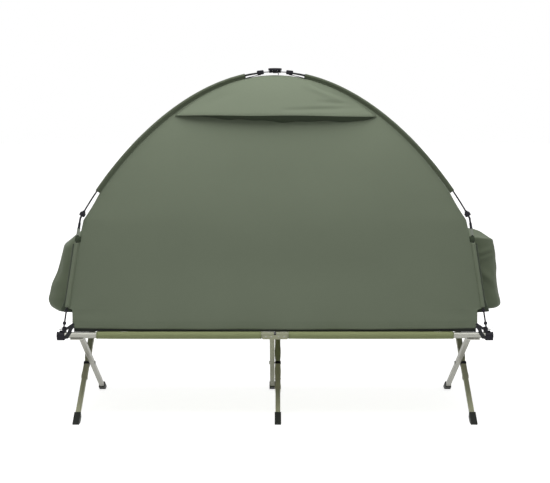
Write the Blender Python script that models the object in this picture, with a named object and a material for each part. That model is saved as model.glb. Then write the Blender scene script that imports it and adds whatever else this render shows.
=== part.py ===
"""Tent cot: a folding camp bed on three pairs of crossed legs, with a dome tent standing on it.

X runs along the bed, Y across it from the front to the back, and Z up. The origin is on the
floor under the middle of the bed, and the front is at -Y. All lengths are in metres.
"""

import math

import bmesh
import bpy
from mathutils import Matrix, Vector

# Fits, and the fineness of the shapes
SEAT_GAP = 0.0003
CUT_OVERRUN = 0.02
FUSE_DEPTH = 0.001
SMOOTH_DEGREES = 35
MERGE_DIGITS = 6

# Rails of the bed, two halves on each side
RAIL_REACH = 0.962
RAIL_SPREAD = 0.320
RAIL_HEIGHT = 0.4015
RAIL_RADIUS = 0.0135
RAIL_WALL = 0.0015
RAIL_SPLIT_GAP = 0.001
RAIL_SIDES = 16

# Crossed legs
LEG_WIDTH = 0.022
LEG_WALL = 0.0015
LEG_SETBACK = 0.088
LEG_PLANE_OFFSET = 0.013
FOOT_SPREAD = 0.330
LEG_EDGE_BEVEL = 0.003
PIVOT_RADIUS = 0.004
PIVOT_CLEARANCE = 0.0004
PIVOT_HEAD_RADIUS = 0.008
PIVOT_HEAD_LENGTH = 0.004
PIVOT_SIDES = 12
SADDLE_LENGTH = 0.056
SADDLE_THICKNESS = 0.006
CHANNEL_LENGTH = 0.110
CHANNEL_WALL = 0.002
CHANNEL_LIP = 0.003
BRACKET_WALL = 0.0012
BRACKET_LENGTH = 0.150
BRACKET_START = 0.020

# Rubber feet
FOOT_WIDTH = 0.029
FOOT_LENGTH = 0.060
FOOT_TOE = 0.010
FOOT_FLOOR = 0.0245

# Corner fittings at the rail ends
FITTING_LENGTH = 0.036
FITTING_WALL = 0.003
FITTING_END = 0.003
CUP_WIDTH = 0.017
CUP_FLOOR = 0.005
CUP_HEIGHT = 0.0215
CUP_CLEARANCE = 0.0006

# Tie straps round the rails
STRAP_WIDTH = 0.015
STRAP_THICKNESS = 0.0018
STRAP_SETBACK = 0.057
STRAP_LEAN = 0.80
STRAP_TAIL = 0.036
STRAP_TAIL_DEPTH = 0.008

# Bed cloth
BED_SETBACK = 0.172
BED_THICKNESS = 0.002
BED_SAG = 0.016
BED_STEPS = 12
BED_SLEEVE_STEPS = 16
BED_NOTCH = 0.062

# Tent poles
POLE_RADIUS = 0.0045
POLE_SIDES = 8
POLE_FOOT_SETBACK = 0.028
POLE_FOOT_PIN = 0.019
ELBOW_SETBACK = 0.078
ELBOW_HEIGHT = 0.920
HUB_HEIGHT = 1.5614
ELBOW_PULL_REACH = 0.157
ELBOW_PULL_RISE = 0.286
HUB_PULL_REACH = 0.375
POLE_STEPS = 16

# Elbow joints, hub and clips
ELBOW_BLOCK_RADIUS = 0.011
ELBOW_BLOCK_HALF = 0.012
ELBOW_NECK_RADIUS = 0.0042
ELBOW_NECK_LENGTH = 0.030
ELBOW_FERRULE_RADIUS = 0.0072
ELBOW_FERRULE_LENGTH = 0.014
ELBOW_UPPER_SETBACK = 0.0165
HUB_RADIUS = 0.028
HUB_BELOW = 0.008
HUB_THICKNESS = 0.026
HUB_EDGE = 0.004
HUB_STEM_RADIUS = 0.003
HUB_SIDES = 20
HUB_ARM_NECK_RADIUS = 0.0032
HUB_ARM_NECK_LENGTH = 0.044
HUB_ARM_BLOCK_RADIUS = 0.0095
HUB_ARM_BLOCK_LENGTH = 0.025
CLIP_RADIUS = 0.0084
CLIP_LENGTH = 0.016
CLIP_RISE = 0.049
CLIP_CLEARANCE = 0.0007

# Canopy
CLOTH = 0.002
CANOPY_CORNER_SETBACK = 0.048
CANOPY_CORNER_TOP = 0.513
CANOPY_CORNER_STEP = 0.004
CANOPY_LOWER_INSET = 0.0054
CANOPY_LOWER_TOP = 0.770
CANOPY_ELBOW_INSET = 0.016
CANOPY_SLEEVE_INSET = 0.015
CANOPY_HUB_INSET = 0.022
SLEEVE_START = 0.139
SLEEVE_END = 0.125
SLEEVE_CLEARANCE = 0.0008
SLEEVE_THICKNESS = 0.0016
SLEEVE_FIN_WIDTH = 0.0032

# Doorway in the back wall, and its rolled-up flap
DOOR_HALF_WIDTH = 0.420
DOOR_SILL = 0.470
DOOR_HEAD = 1.100
DOOR_ARCH_RADIUS = 0.220
DOOR_ARCH_STEPS = 6
ROLL_HALF_LENGTH = 0.440
ROLL_RADIUS = 0.026
ROLL_HEIGHT = 1.160
ROLL_SIDES = 12
ROLL_STEPS = 24
ROLL_TIE_HALF_WIDTH = 0.050
ROLL_TIE_PLACE_SHARE = 0.5
ROLL_WAIST_SHARE = 0.30
ROLL_END_SHARE = 0.25

# Brow over the front vent
BROW_HALF_WIDTH = 0.435
BROW_TOP_SHARE = 0.47
BROW_LIP_DROP = 0.2044
BROW_TOP_DROP = 0.0664
BROW_DEPTH = 0.050
BROW_END_DEPTH = 0.014
BROW_STEPS = 16
BROW_ROWS = 5
BROW_DROOP = 0.016

# Hoods on the two end walls
HOOD_FOOT = 0.451
HOOD_HEIGHT = 0.372
HOOD_BULGE = 0.138
HOOD_HALF_WIDTH = 0.235
HOOD_STEPS = 10
HOOD_EDGE_SHARE = 0.16
HOOD_GAP = 0.0007
# Each pair is the height up the hood and the distance out from the wall.
HOOD_LEFT_SHARES = [
    (0.013, 0.35), (0.022, 0.56), (0.09, 0.87), (0.18, 1.0), (0.40, 0.965),
    (0.52, 0.82), (0.70, 0.78), (0.86, 0.70), (0.945, 0.39), (0.965, 0.06),
]
HOOD_RIGHT_SHARES = [
    (0.013, 0.30), (0.022, 0.42), (0.064, 0.74), (0.115, 0.97), (0.25, 0.90),
    (0.39, 0.88), (0.65, 0.90), (0.925, 0.93), (0.965, 0.60), (0.985, 0.06),
]

# Places worked out from the sizes above
LEG_REACH = RAIL_REACH - LEG_SETBACK
STRAP_REACH = RAIL_REACH - STRAP_SETBACK
BED_REACH = RAIL_REACH - BED_SETBACK
POLE_FOOT_REACH = RAIL_REACH - POLE_FOOT_SETBACK
ELBOW_REACH = POLE_FOOT_REACH - ELBOW_SETBACK
CANOPY_CORNER_REACH = POLE_FOOT_REACH - CANOPY_CORNER_SETBACK
CLIP_HEIGHT = CANOPY_LOWER_TOP + CLIP_RISE
BROW_LIP_HEIGHT = HUB_HEIGHT - BROW_LIP_DROP
BROW_TOP_HEIGHT = HUB_HEIGHT - BROW_TOP_DROP
POLE_SLOPE = RAIL_SPREAD / POLE_FOOT_REACH
DIAGONAL = math.sqrt(1 + POLE_SLOPE**2)
LEG_ANGLE = math.atan2(RAIL_HEIGHT, RAIL_SPREAD + FOOT_SPREAD)
PIVOT_HEIGHT = FOOT_SPREAD * math.tan(LEG_ANGLE)
SADDLE_TOP = RAIL_HEIGHT - RAIL_RADIUS - SEAT_GAP
RAIL_TOP = RAIL_HEIGHT + RAIL_RADIUS
CUP_BOTTOM = RAIL_TOP + SEAT_GAP
CUP_TOP = CUP_BOTTOM + CUP_HEIGHT
POLE_FOOT_HEIGHT = CUP_BOTTOM + CUP_FLOOR + SEAT_GAP
BED_SLEEVE_INNER = RAIL_RADIUS + SEAT_GAP
BED_TOP = RAIL_HEIGHT + BED_SLEEVE_INNER + BED_THICKNESS
FLOOR_BOTTOM = BED_TOP + SEAT_GAP
CANOPY_FOOT = FLOOR_BOTTOM + CLOTH + SEAT_GAP


def clear_scene():
    for old in list(bpy.data.objects):
        bpy.data.objects.remove(old)


def finish_material(name, colour, roughness, metallic):
    made = bpy.data.materials.new(name)
    made.use_nodes = True
    shader = made.node_tree.nodes["Principled BSDF"]
    shader.inputs["Base Color"].default_value = (*colour, 1)
    shader.inputs["Roughness"].default_value = roughness
    shader.inputs["Metallic"].default_value = metallic
    made.diffuse_color = (*colour, 1)
    return made


def body_empty(name, place):
    empty = bpy.data.objects.new(name, None)
    empty.location = place
    bpy.context.scene.collection.objects.link(empty)
    return empty


def add_piece(name, shape, body, finish, smooth=True):
    """Turns a shape in world places into a named object under its body's empty."""
    bmesh.ops.recalc_face_normals(shape, faces=shape.faces)
    bmesh.ops.translate(shape, verts=shape.verts, vec=-body.location)
    mesh = bpy.data.meshes.new(name)
    shape.to_mesh(mesh)
    shape.free()
    if smooth:
        mesh.shade_smooth()
        mesh.set_sharp_from_angle(angle=math.radians(SMOOTH_DEGREES))
    mesh.materials.append(finish)
    made = bpy.data.objects.new(name, mesh)
    made.parent = body
    bpy.context.scene.collection.objects.link(made)
    return made


def combine(piece, shape, operation):
    """Cuts a shape from a piece, or fuses it on, with an exact Boolean."""
    count = len(piece.modifiers)
    tool = add_piece(f"{piece.name}_tool_{count}", shape, piece.parent, piece.active_material, False)
    tool.hide_render = True
    tool.display_type = "WIRE"
    modifier = piece.modifiers.new(operation.lower(), "BOOLEAN")
    modifier.operation = operation
    modifier.solver = "EXACT"
    modifier.object = tool


def round_edges(piece, width):
    modifier = piece.modifiers.new("rounded_edges", "BEVEL")
    modifier.width = width
    modifier.segments = 2
    modifier.limit_method = "ANGLE"


def block(low, high):
    """A box between two corners."""
    shape = bmesh.new()
    low, high = Vector(low), Vector(high)
    size = Matrix.Diagonal((*(high - low), 1))
    bmesh.ops.create_cube(shape, size=1, matrix=Matrix.Translation((low + high) / 2) @ size)
    return shape


def loft(rings):
    """A closed shape through rings of as many points each, capped at both ends."""
    shape = bmesh.new()
    rows = [[shape.verts.new(point) for point in ring] for ring in rings]
    for before, after in zip(rows, rows[1:]):
        for i in range(len(before)):
            j = (i + 1) % len(before)
            shape.faces.new((before[i], before[j], after[j], after[i]))
    shape.faces.new(rows[0][::-1])
    shape.faces.new(rows[-1])
    return shape


def hollow_loft(outer_rings, inner_rings):
    """A tube wall between outer and inner rings, open right through."""
    shape = bmesh.new()
    outer = [[shape.verts.new(point) for point in ring] for ring in outer_rings]
    inner = [[shape.verts.new(point) for point in ring] for ring in inner_rings]
    loop = [*outer, *inner[::-1], outer[0]]
    for before, after in zip(loop, loop[1:]):
        for i in range(len(before)):
            j = (i + 1) % len(before)
            shape.faces.new((before[i], before[j], after[j], after[i]))
    return shape


def ring_about(centre, across, up, radius, sides):
    """Points of a regular ring in the plane of two directions."""
    angles = [math.tau * (i + 0.5) / sides for i in range(sides)]
    return [
        Vector(centre) + radius * (math.cos(a) * Vector(across) + math.sin(a) * Vector(up))
        for a in angles
    ]


def turned(base, axis, profile, sides):
    """A round shape along an axis from (distance, radius) pairs."""
    axis = Vector(axis).normalized()
    across = axis.orthogonal().normalized()
    up = axis.cross(across)
    return loft([
        ring_about(Vector(base) + axis * distance, across, up, radius, sides)
        for distance, radius in profile
    ])


def tube_along_x(start, end, centre_y, centre_z, outer, inner, sides):
    rings = [
        [ring_about((x, centre_y, centre_z), (0, 1, 0), (0, 0, 1), radius, sides) for x in (start, end)]
        for radius in (outer, inner)
    ]
    return hollow_loft(*rings)


def extruded_along_x(outline, start, end):
    """A closed outline of (y, z) points pushed from one X to another."""
    return loft([[(x, y, z) for y, z in outline] for x in (start, end)])


def extruded_along_y(outline, start, end):
    """A closed outline of (x, z) points pushed from one Y to another."""
    return loft([[(x, y, z) for x, z in outline] for y in (start, end)])


# The line of a pole, in the upright plane that runs from a corner to the hub

def lower_pole_line():
    return [
        Vector((POLE_FOOT_REACH, POLE_FOOT_HEIGHT)),
        Vector((POLE_FOOT_REACH, POLE_FOOT_HEIGHT + POLE_FOOT_PIN)),
        Vector((ELBOW_REACH, ELBOW_HEIGHT)),
    ]


def upper_pole_line():
    """A Bezier arc from the elbow, steep at first, with its last two steps to the hub made one."""
    ends = [
        Vector((ELBOW_REACH, ELBOW_HEIGHT)),
        Vector((ELBOW_REACH - ELBOW_PULL_REACH, ELBOW_HEIGHT + ELBOW_PULL_RISE)),
        Vector((HUB_PULL_REACH, HUB_HEIGHT)),
        Vector((0, HUB_HEIGHT)),
    ]
    line = []
    for i in range(POLE_STEPS - 1):
        t = i / POLE_STEPS
        weights = ((1 - t) ** 3, 3 * t * (1 - t) ** 2, 3 * t**2 * (1 - t), t**3)
        line.append(sum((w * p for w, p in zip(weights, ends)), Vector((0, 0))))
    return [*line, ends[-1]]


def true_length(a, b):
    """Length of a step of the line, measured along the diagonal."""
    return math.hypot((b.x - a.x) * DIAGONAL, b.y - a.y)


def line_length(line):
    return sum(true_length(a, b) for a, b in zip(line, line[1:]))


def part_of_line(line, start, end):
    """The stretch of a line between two distances, with the line's own points kept."""
    made, travelled = [], 0
    for a, b in zip(line, line[1:]):
        step = true_length(a, b)
        for cut in (start, end):
            if travelled < cut < travelled + step:
                made.append((cut, a.lerp(b, (cut - travelled) / step)))
        travelled += step
        made.append((travelled, b))
    made.insert(0, (0, line[0]))
    kept = {round(d, MERGE_DIGITS): p for d, p in made if start <= d <= end}
    return [kept[d] for d in sorted(kept)]


def inward(line, i):
    """The direction across the line at a point, towards the inside of the tent."""
    a, b = line[max(i - 1, 0)], line[min(i + 1, len(line) - 1)]
    along = Vector(((b.x - a.x) * DIAGONAL, b.y - a.y)).normalized()
    return Vector((-along.y / DIAGONAL, along.x))


def in_space(point, side_x, side_y):
    return Vector((side_x * point.x, side_y * point.x * POLE_SLOPE, point.y))


def rings_along(line, side_x, side_y, radius, sides):
    """Rings of points round a pole line, square to it."""
    across = Vector((-side_y * POLE_SLOPE, side_x, 0)).normalized()
    rings = []
    for i, point in enumerate(line):
        normal = in_space(inward(line, i), side_x, side_y).normalized()
        rings.append(ring_about(in_space(point, side_x, side_y), across, normal, radius, sides))
    return rings


def rod_along(line, side_x, side_y, radius):
    return loft(rings_along(line, side_x, side_y, radius, POLE_SIDES))


def sleeve_along(line, side_x, side_y, inner, outer):
    return hollow_loft(
        rings_along(line, side_x, side_y, outer, POLE_SIDES),
        rings_along(line, side_x, side_y, inner, POLE_SIDES),
    )


def finned_sleeve(line, side_x, side_y):
    """A sleeve round a pole, with a flat fin from it to the edge of the canopy."""
    inner = POLE_RADIUS + SLEEVE_CLEARANCE
    outside = rings_along(line, side_x, side_y, inner + SLEEVE_THICKNESS, POLE_SIDES)
    depth = CANOPY_SLEEVE_INSET - 2 * SEAT_GAP
    across = Vector((-side_y * POLE_SLOPE, side_x, 0)).normalized()
    for i, point in enumerate(line):
        normal = in_space(inward(line, i), side_x, side_y).normalized()
        tip = in_space(point, side_x, side_y) + normal * depth
        for j, side in ((POLE_SIDES // 4 - 1, 1), (POLE_SIDES // 4, -1)):
            outside[i][j] = tip + across * side * SLEEVE_FIN_WIDTH / 2
    return hollow_loft(outside, rings_along(line, side_x, side_y, inner, POLE_SIDES))


def canopy_rows():
    """Half length, half depth and height of each level slice of the canopy, foot to top."""
    foot, pin, elbow = lower_pole_line()

    def lower_reach(height):
        share = (height - pin.y) / (elbow.y - pin.y)
        return pin.x + (elbow.x - pin.x) * share - CANOPY_LOWER_INSET * DIAGONAL

    step_top = CANOPY_CORNER_TOP + CANOPY_CORNER_STEP
    rows = [
        (CANOPY_CORNER_REACH, lower_reach(CANOPY_FOOT) * POLE_SLOPE, CANOPY_FOOT),
        (CANOPY_CORNER_REACH, lower_reach(CANOPY_CORNER_TOP) * POLE_SLOPE, CANOPY_CORNER_TOP),
        (lower_reach(step_top), lower_reach(step_top) * POLE_SLOPE, step_top),
        (lower_reach(CANOPY_LOWER_TOP), lower_reach(CANOPY_LOWER_TOP) * POLE_SLOPE, CANOPY_LOWER_TOP),
    ]
    line = upper_pole_line()
    total = line_length(line)
    sleeve_top = total - SLEEVE_END
    stops = [0, SLEEVE_START, sleeve_top, total]
    insets = [CANOPY_ELBOW_INSET, CANOPY_SLEEVE_INSET, CANOPY_SLEEVE_INSET, CANOPY_HUB_INSET]
    marks = part_of_line(line, 0, SLEEVE_START)[:1]
    marks += part_of_line(line, SLEEVE_START, total)
    travelled = 0
    for i, point in enumerate(marks):
        if i:
            travelled += true_length(marks[i - 1], point)
        inset = insets[-1]
        for start, end, first, last in zip(stops, stops[1:], insets, insets[1:]):
            if start <= travelled <= end:
                inset = first + (last - first) * (travelled - start) / (end - start)
                break
        edge = point + inward(marks, i) * inset
        rows.append((edge.x, edge.x * POLE_SLOPE, edge.y))
    return rows


def wall_at(rows, height, column):
    """Half length (column 0) or half depth (column 1) of the canopy at a height."""
    for low, high in zip(rows, rows[1:]):
        if low[2] <= height <= high[2]:
            return low[column] + (high[column] - low[column]) * (height - low[2]) / (high[2] - low[2])
    return rows[-1][column]


# Bed frame

def make_rails(bodies, metal):
    for frame, side_y in (("front", -1), ("back", 1)):
        for end, side_x in (("left", -1), ("right", 1)):
            tube = tube_along_x(
                side_x * RAIL_SPLIT_GAP / 2, side_x * RAIL_REACH, side_y * RAIL_SPREAD, RAIL_HEIGHT,
                RAIL_RADIUS, RAIL_RADIUS - RAIL_WALL, RAIL_SIDES,
            )
            add_piece(f"rail_{frame}_{end}", tube, bodies[frame], metal)


def leg_frame(side_y):
    """Start at the floor, direction up the leg and direction square to it, for a leg to one rail."""
    foot = Vector((0, -side_y * FOOT_SPREAD, 0))
    up = Vector((0, side_y * math.cos(LEG_ANGLE), math.sin(LEG_ANGLE)))
    square = Vector((0, -side_y * math.sin(LEG_ANGLE), math.cos(LEG_ANGLE)))
    return foot, up, square


def bar_on_leg(x, side_y, start, end, width):
    """A square bar on a leg's line between two distances from the floor."""
    foot, up, square = leg_frame(side_y)
    half = width / 2
    rings = []
    for distance in (start, end):
        centre = foot + Vector((x, 0, 0)) + up * distance
        corners = ((-half, -half), (half, -half), (half, half), (-half, half))
        rings.append([centre + Vector((a, 0, 0)) + square * b for a, b in corners])
    return loft(rings)


def level_cut(shape, height, keep_above):
    """Cuts a shape off flat at a height."""
    bmesh.ops.recalc_face_normals(shape, faces=shape.faces)
    geometry = shape.verts[:] + shape.edges[:] + shape.faces[:]
    cut = bmesh.ops.bisect_plane(
        shape, geom=geometry, plane_co=(0, 0, height), plane_no=(0, 0, 1),
        clear_inner=keep_above, clear_outer=not keep_above,
    )
    rim = [item for item in cut["geom_cut"] if isinstance(item, bmesh.types.BMEdge)]
    bmesh.ops.contextual_create(shape, geom=rim)
    return shape


def saddle(x, side_x, side_y):
    """Plate under the rail that a leg is riveted to. It runs outwards in front and inwards behind."""
    outward = side_x * -side_y
    ends = sorted((x - outward * LEG_WIDTH / 2, x + outward * (SADDLE_LENGTH - LEG_WIDTH / 2)))
    leg_top = (SADDLE_TOP - PIVOT_HEIGHT) / math.tan(LEG_ANGLE) - LEG_WIDTH / 2 / math.sin(LEG_ANGLE)
    sides = sorted((side_y * (RAIL_SPREAD + RAIL_RADIUS - FITTING_WALL), side_y * leg_top))
    return block(
        (ends[0], sides[0], SADDLE_TOP - SADDLE_THICKNESS),
        (ends[1], sides[1], SADDLE_TOP),
    )


def hinge_channel(side_y):
    """Channel that holds the two rail halves together at the middle legs."""
    inner = RAIL_RADIUS + SEAT_GAP
    outer = inner + CHANNEL_WALL
    floor, top = RAIL_HEIGHT - inner, RAIL_HEIGHT + CHANNEL_LIP
    base = floor - CHANNEL_WALL
    outline = [
        (-outer, base), (outer, base), (outer, top), (inner, top),
        (inner, floor), (-inner, floor), (-inner, top), (-outer, top),
    ]
    centre = side_y * RAIL_SPREAD
    placed = [(centre + y, z) for y, z in outline]
    return extruded_along_x(placed, -CHANNEL_LENGTH / 2, CHANNEL_LENGTH / 2)


def make_leg(name, x, side_x, side_y, body, metal):
    top = (RAIL_HEIGHT - CHANNEL_WALL) / math.sin(LEG_ANGLE)
    pivot = PIVOT_HEIGHT / math.sin(LEG_ANGLE)
    ceiling = SADDLE_TOP if side_x else SADDLE_TOP - CHANNEL_WALL + FUSE_DEPTH
    bar = level_cut(bar_on_leg(x, side_y, FOOT_FLOOR, top, LEG_WIDTH), ceiling, False)
    leg = add_piece(name, bar, body, metal)
    round_edges(leg, LEG_EDGE_BEVEL)
    head = saddle(x, side_x, side_y) if side_x else hinge_channel(side_y)
    combine(leg, head, "UNION")
    if side_y > 0:
        start = pivot + BRACKET_START
        bracket = bar_on_leg(x, side_y, start, start + BRACKET_LENGTH, LEG_WIDTH + 2 * BRACKET_WALL)
        combine(leg, bracket, "UNION")
    bore = bar_on_leg(x, side_y, -CUT_OVERRUN, top - LEG_WIDTH, LEG_WIDTH - 2 * LEG_WALL)
    combine(leg, bore, "DIFFERENCE")
    reach = LEG_WIDTH
    hole = turned(
        (x - reach, 0, PIVOT_HEIGHT), (1, 0, 0),
        [(0, PIVOT_RADIUS + PIVOT_CLEARANCE), (2 * reach, PIVOT_RADIUS + PIVOT_CLEARANCE)], PIVOT_SIDES,
    )
    combine(leg, hole, "DIFFERENCE")


def make_foot(name, x, side_y, body, rubber):
    shoe = level_cut(bar_on_leg(x, side_y, -FOOT_TOE, FOOT_LENGTH, FOOT_WIDTH), 0, True)
    foot = add_piece(name, shoe, body, rubber)
    socket = bar_on_leg(
        x, side_y, FOOT_FLOOR - SEAT_GAP, FOOT_LENGTH + CUT_OVERRUN, LEG_WIDTH + 2 * SEAT_GAP
    )
    combine(foot, socket, "DIFFERENCE")


def make_legs(bodies, metal, rubber, steel):
    for place, side_x in (("left", -1), ("middle", 0), ("right", 1)):
        for frame, side_y in (("front", -1), ("back", 1)):
            outward = side_x if side_x else 1
            x = side_x * LEG_REACH + outward * side_y * LEG_PLANE_OFFSET
            make_leg(f"leg_{frame}_{place}", x, side_x, side_y, bodies[frame], metal)
            make_foot(f"foot_{frame}_{place}", x, side_y, bodies[frame], rubber)
        reach = LEG_PLANE_OFFSET + LEG_WIDTH / 2 + SEAT_GAP
        head = reach + PIVOT_HEAD_LENGTH
        profile = [
            (-head, PIVOT_HEAD_RADIUS), (-reach, PIVOT_HEAD_RADIUS), (-reach, PIVOT_RADIUS),
            (reach, PIVOT_RADIUS), (reach, PIVOT_HEAD_RADIUS), (head, PIVOT_HEAD_RADIUS),
        ]
        bolt = turned((side_x * LEG_REACH, 0, PIVOT_HEIGHT), (1, 0, 0), profile, PIVOT_SIDES)
        add_piece(f"cross_bolt_{place}", bolt, bodies["bolts"], steel)


def half_ring(centre_y, centre_z, inner, outer):
    """Lower half of a ring, as (y, z) points."""
    half = RAIL_SIDES // 2
    angles = [math.pi + math.pi * i / half for i in range(half + 1)]
    outside = [(centre_y + outer * math.cos(a), centre_z + outer * math.sin(a)) for a in angles]
    inside = [(centre_y + inner * math.cos(a), centre_z + inner * math.sin(a)) for a in angles]
    return outside + inside[::-1]


def make_corner_fittings(bodies, plastic):
    """Shoe under each rail end, with a web up the bed side to a cup for the pole's foot."""
    inner = (RAIL_RADIUS + SEAT_GAP) / math.cos(math.pi / RAIL_SIDES)
    outer = inner + FITTING_WALL
    for frame, side_y in (("front", -1), ("back", 1)):
        for end, side_x in (("left", -1), ("right", 1)):
            axis_y = side_y * RAIL_SPREAD
            near, far = side_x * (RAIL_REACH - FITTING_LENGTH), side_x * (RAIL_REACH + FITTING_END)
            shoe = extruded_along_x(half_ring(axis_y, RAIL_HEIGHT, inner, outer), near, far)
            fitting = add_piece(f"corner_fitting_{frame}_{end}", shoe, bodies[frame], plastic)
            stop_at = side_x * (RAIL_REACH + SEAT_GAP)
            plug = turned(
                (stop_at, axis_y, RAIL_HEIGHT), (side_x, 0, 0),
                [(0, outer - FUSE_DEPTH), (FITTING_END - SEAT_GAP, outer - FUSE_DEPTH)], RAIL_SIDES,
            )
            combine(fitting, plug, "UNION")
            cup_x = side_x * POLE_FOOT_REACH
            half = CUP_WIDTH / 2
            web = sorted((axis_y - side_y * inner, axis_y - side_y * outer))
            combine(fitting, block(
                (cup_x - half, web[0], RAIL_HEIGHT - FITTING_WALL), (cup_x + half, web[1], CUP_TOP),
            ), "UNION")
            across = sorted((axis_y + side_y * half, axis_y - side_y * (outer - FUSE_DEPTH)))
            combine(fitting, block(
                (cup_x - half + FUSE_DEPTH, across[0], CUP_BOTTOM),
                (cup_x + half - FUSE_DEPTH, across[1], CUP_TOP - FUSE_DEPTH),
            ), "UNION")
            hole_radius = (POLE_RADIUS + CUP_CLEARANCE) / math.cos(math.pi / RAIL_SIDES)
            bore = turned(
                (cup_x, axis_y, CUP_BOTTOM + CUP_FLOOR), (0, 0, 1),
                [(0, hole_radius), (CUP_HEIGHT, hole_radius)], RAIL_SIDES,
            )
            combine(fitting, bore, "DIFFERENCE")


def make_tie_straps(bodies, webbing):
    """Leaning loop of webbing round each rail, with a tail up to the canopy's corner."""
    inner = (RAIL_RADIUS + SEAT_GAP) / math.cos(math.pi / RAIL_SIDES)
    outer = RAIL_RADIUS + SEAT_GAP + STRAP_THICKNESS
    for frame, side_y in (("front", -1), ("back", 1)):
        for end, side_x in (("left", -1), ("right", 1)):
            axis_y = side_y * RAIL_SPREAD
            middle = side_x * STRAP_REACH
            loop = tube_along_x(
                middle - STRAP_WIDTH / 2, middle + STRAP_WIDTH / 2, axis_y, RAIL_HEIGHT,
                outer, inner, RAIL_SIDES,
            )
            for point in loop.verts:
                point.co.x -= side_x * STRAP_LEAN * (point.co.z - RAIL_HEIGHT)
            strap = add_piece(f"tie_strap_{frame}_{end}", loop, bodies[frame], webbing)
            start = CANOPY_CORNER_REACH + SEAT_GAP
            along = sorted((side_x * start, side_x * (start + STRAP_WIDTH - FUSE_DEPTH)))
            across = sorted((axis_y, axis_y - side_y * STRAP_TAIL_DEPTH))
            foot = RAIL_TOP + SEAT_GAP + FUSE_DEPTH / 2
            combine(strap, block(
                (along[0], across[0], foot), (along[1], across[1], foot + STRAP_TAIL),
            ), "UNION")


def make_bed_cloth(bodies, canvas):
    """One sheet that sags between two sleeves on the rails, notched at the middle legs."""
    inner = BED_SLEEVE_INNER / math.cos(math.pi / RAIL_SIDES)
    outer = BED_SLEEVE_INNER + BED_THICKNESS
    joint = math.asin((outer - BED_THICKNESS) / outer)
    sweep = 3 * math.pi / 2 + joint
    right = []
    for i in range(BED_SLEEVE_STEPS + 1):
        angle = math.pi / 2 - sweep * i / BED_SLEEVE_STEPS
        right.append((RAIL_SPREAD + outer * math.cos(angle), RAIL_HEIGHT + outer * math.sin(angle)))

    def sag(share):
        return BED_SAG * (1 - (2 * share - 1) ** 2)

    start, end = right[-1], (-right[-1][0], right[-1][1])
    under = [
        (start[0] + (end[0] - start[0]) * i / BED_STEPS, start[1] - sag(i / BED_STEPS))
        for i in range(1, BED_STEPS)
    ]
    left = [(-y, z) for y, z in right[::-1]]
    start, end = left[-1], right[0]
    over = [
        (start[0] + (end[0] - start[0]) * i / BED_STEPS, start[1] - sag(i / BED_STEPS))
        for i in range(1, BED_STEPS)
    ]
    outline = right + under + left + over
    cloth = add_piece("bed_cloth", extruded_along_x(outline, -BED_REACH, BED_REACH), bodies["bed"], canvas)
    for side_y in (-1, 1):
        bore = turned(
            (-BED_REACH - CUT_OVERRUN, side_y * RAIL_SPREAD, RAIL_HEIGHT), (1, 0, 0),
            [(0, inner), (2 * (BED_REACH + CUT_OVERRUN), inner)], RAIL_SIDES,
        )
        combine(cloth, bore, "DIFFERENCE")
        sides = sorted((side_y * (RAIL_SPREAD - outer - BED_THICKNESS), side_y * (RAIL_SPREAD + CUT_OVERRUN)))
        combine(cloth, block(
            (-BED_NOTCH, sides[0], RAIL_HEIGHT - CUT_OVERRUN), (BED_NOTCH, sides[1], RAIL_HEIGHT + CUT_OVERRUN),
        ), "DIFFERENCE")


# Tent frame

def straight_piece(line_start, line_end, profile, side_x, side_y):
    """A round piece along a straight stretch of a pole, from (distance, radius) pairs."""
    start, end = in_space(line_start, side_x, side_y), in_space(line_end, side_x, side_y)
    return turned(start, end - start, profile, POLE_SIDES)


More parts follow.
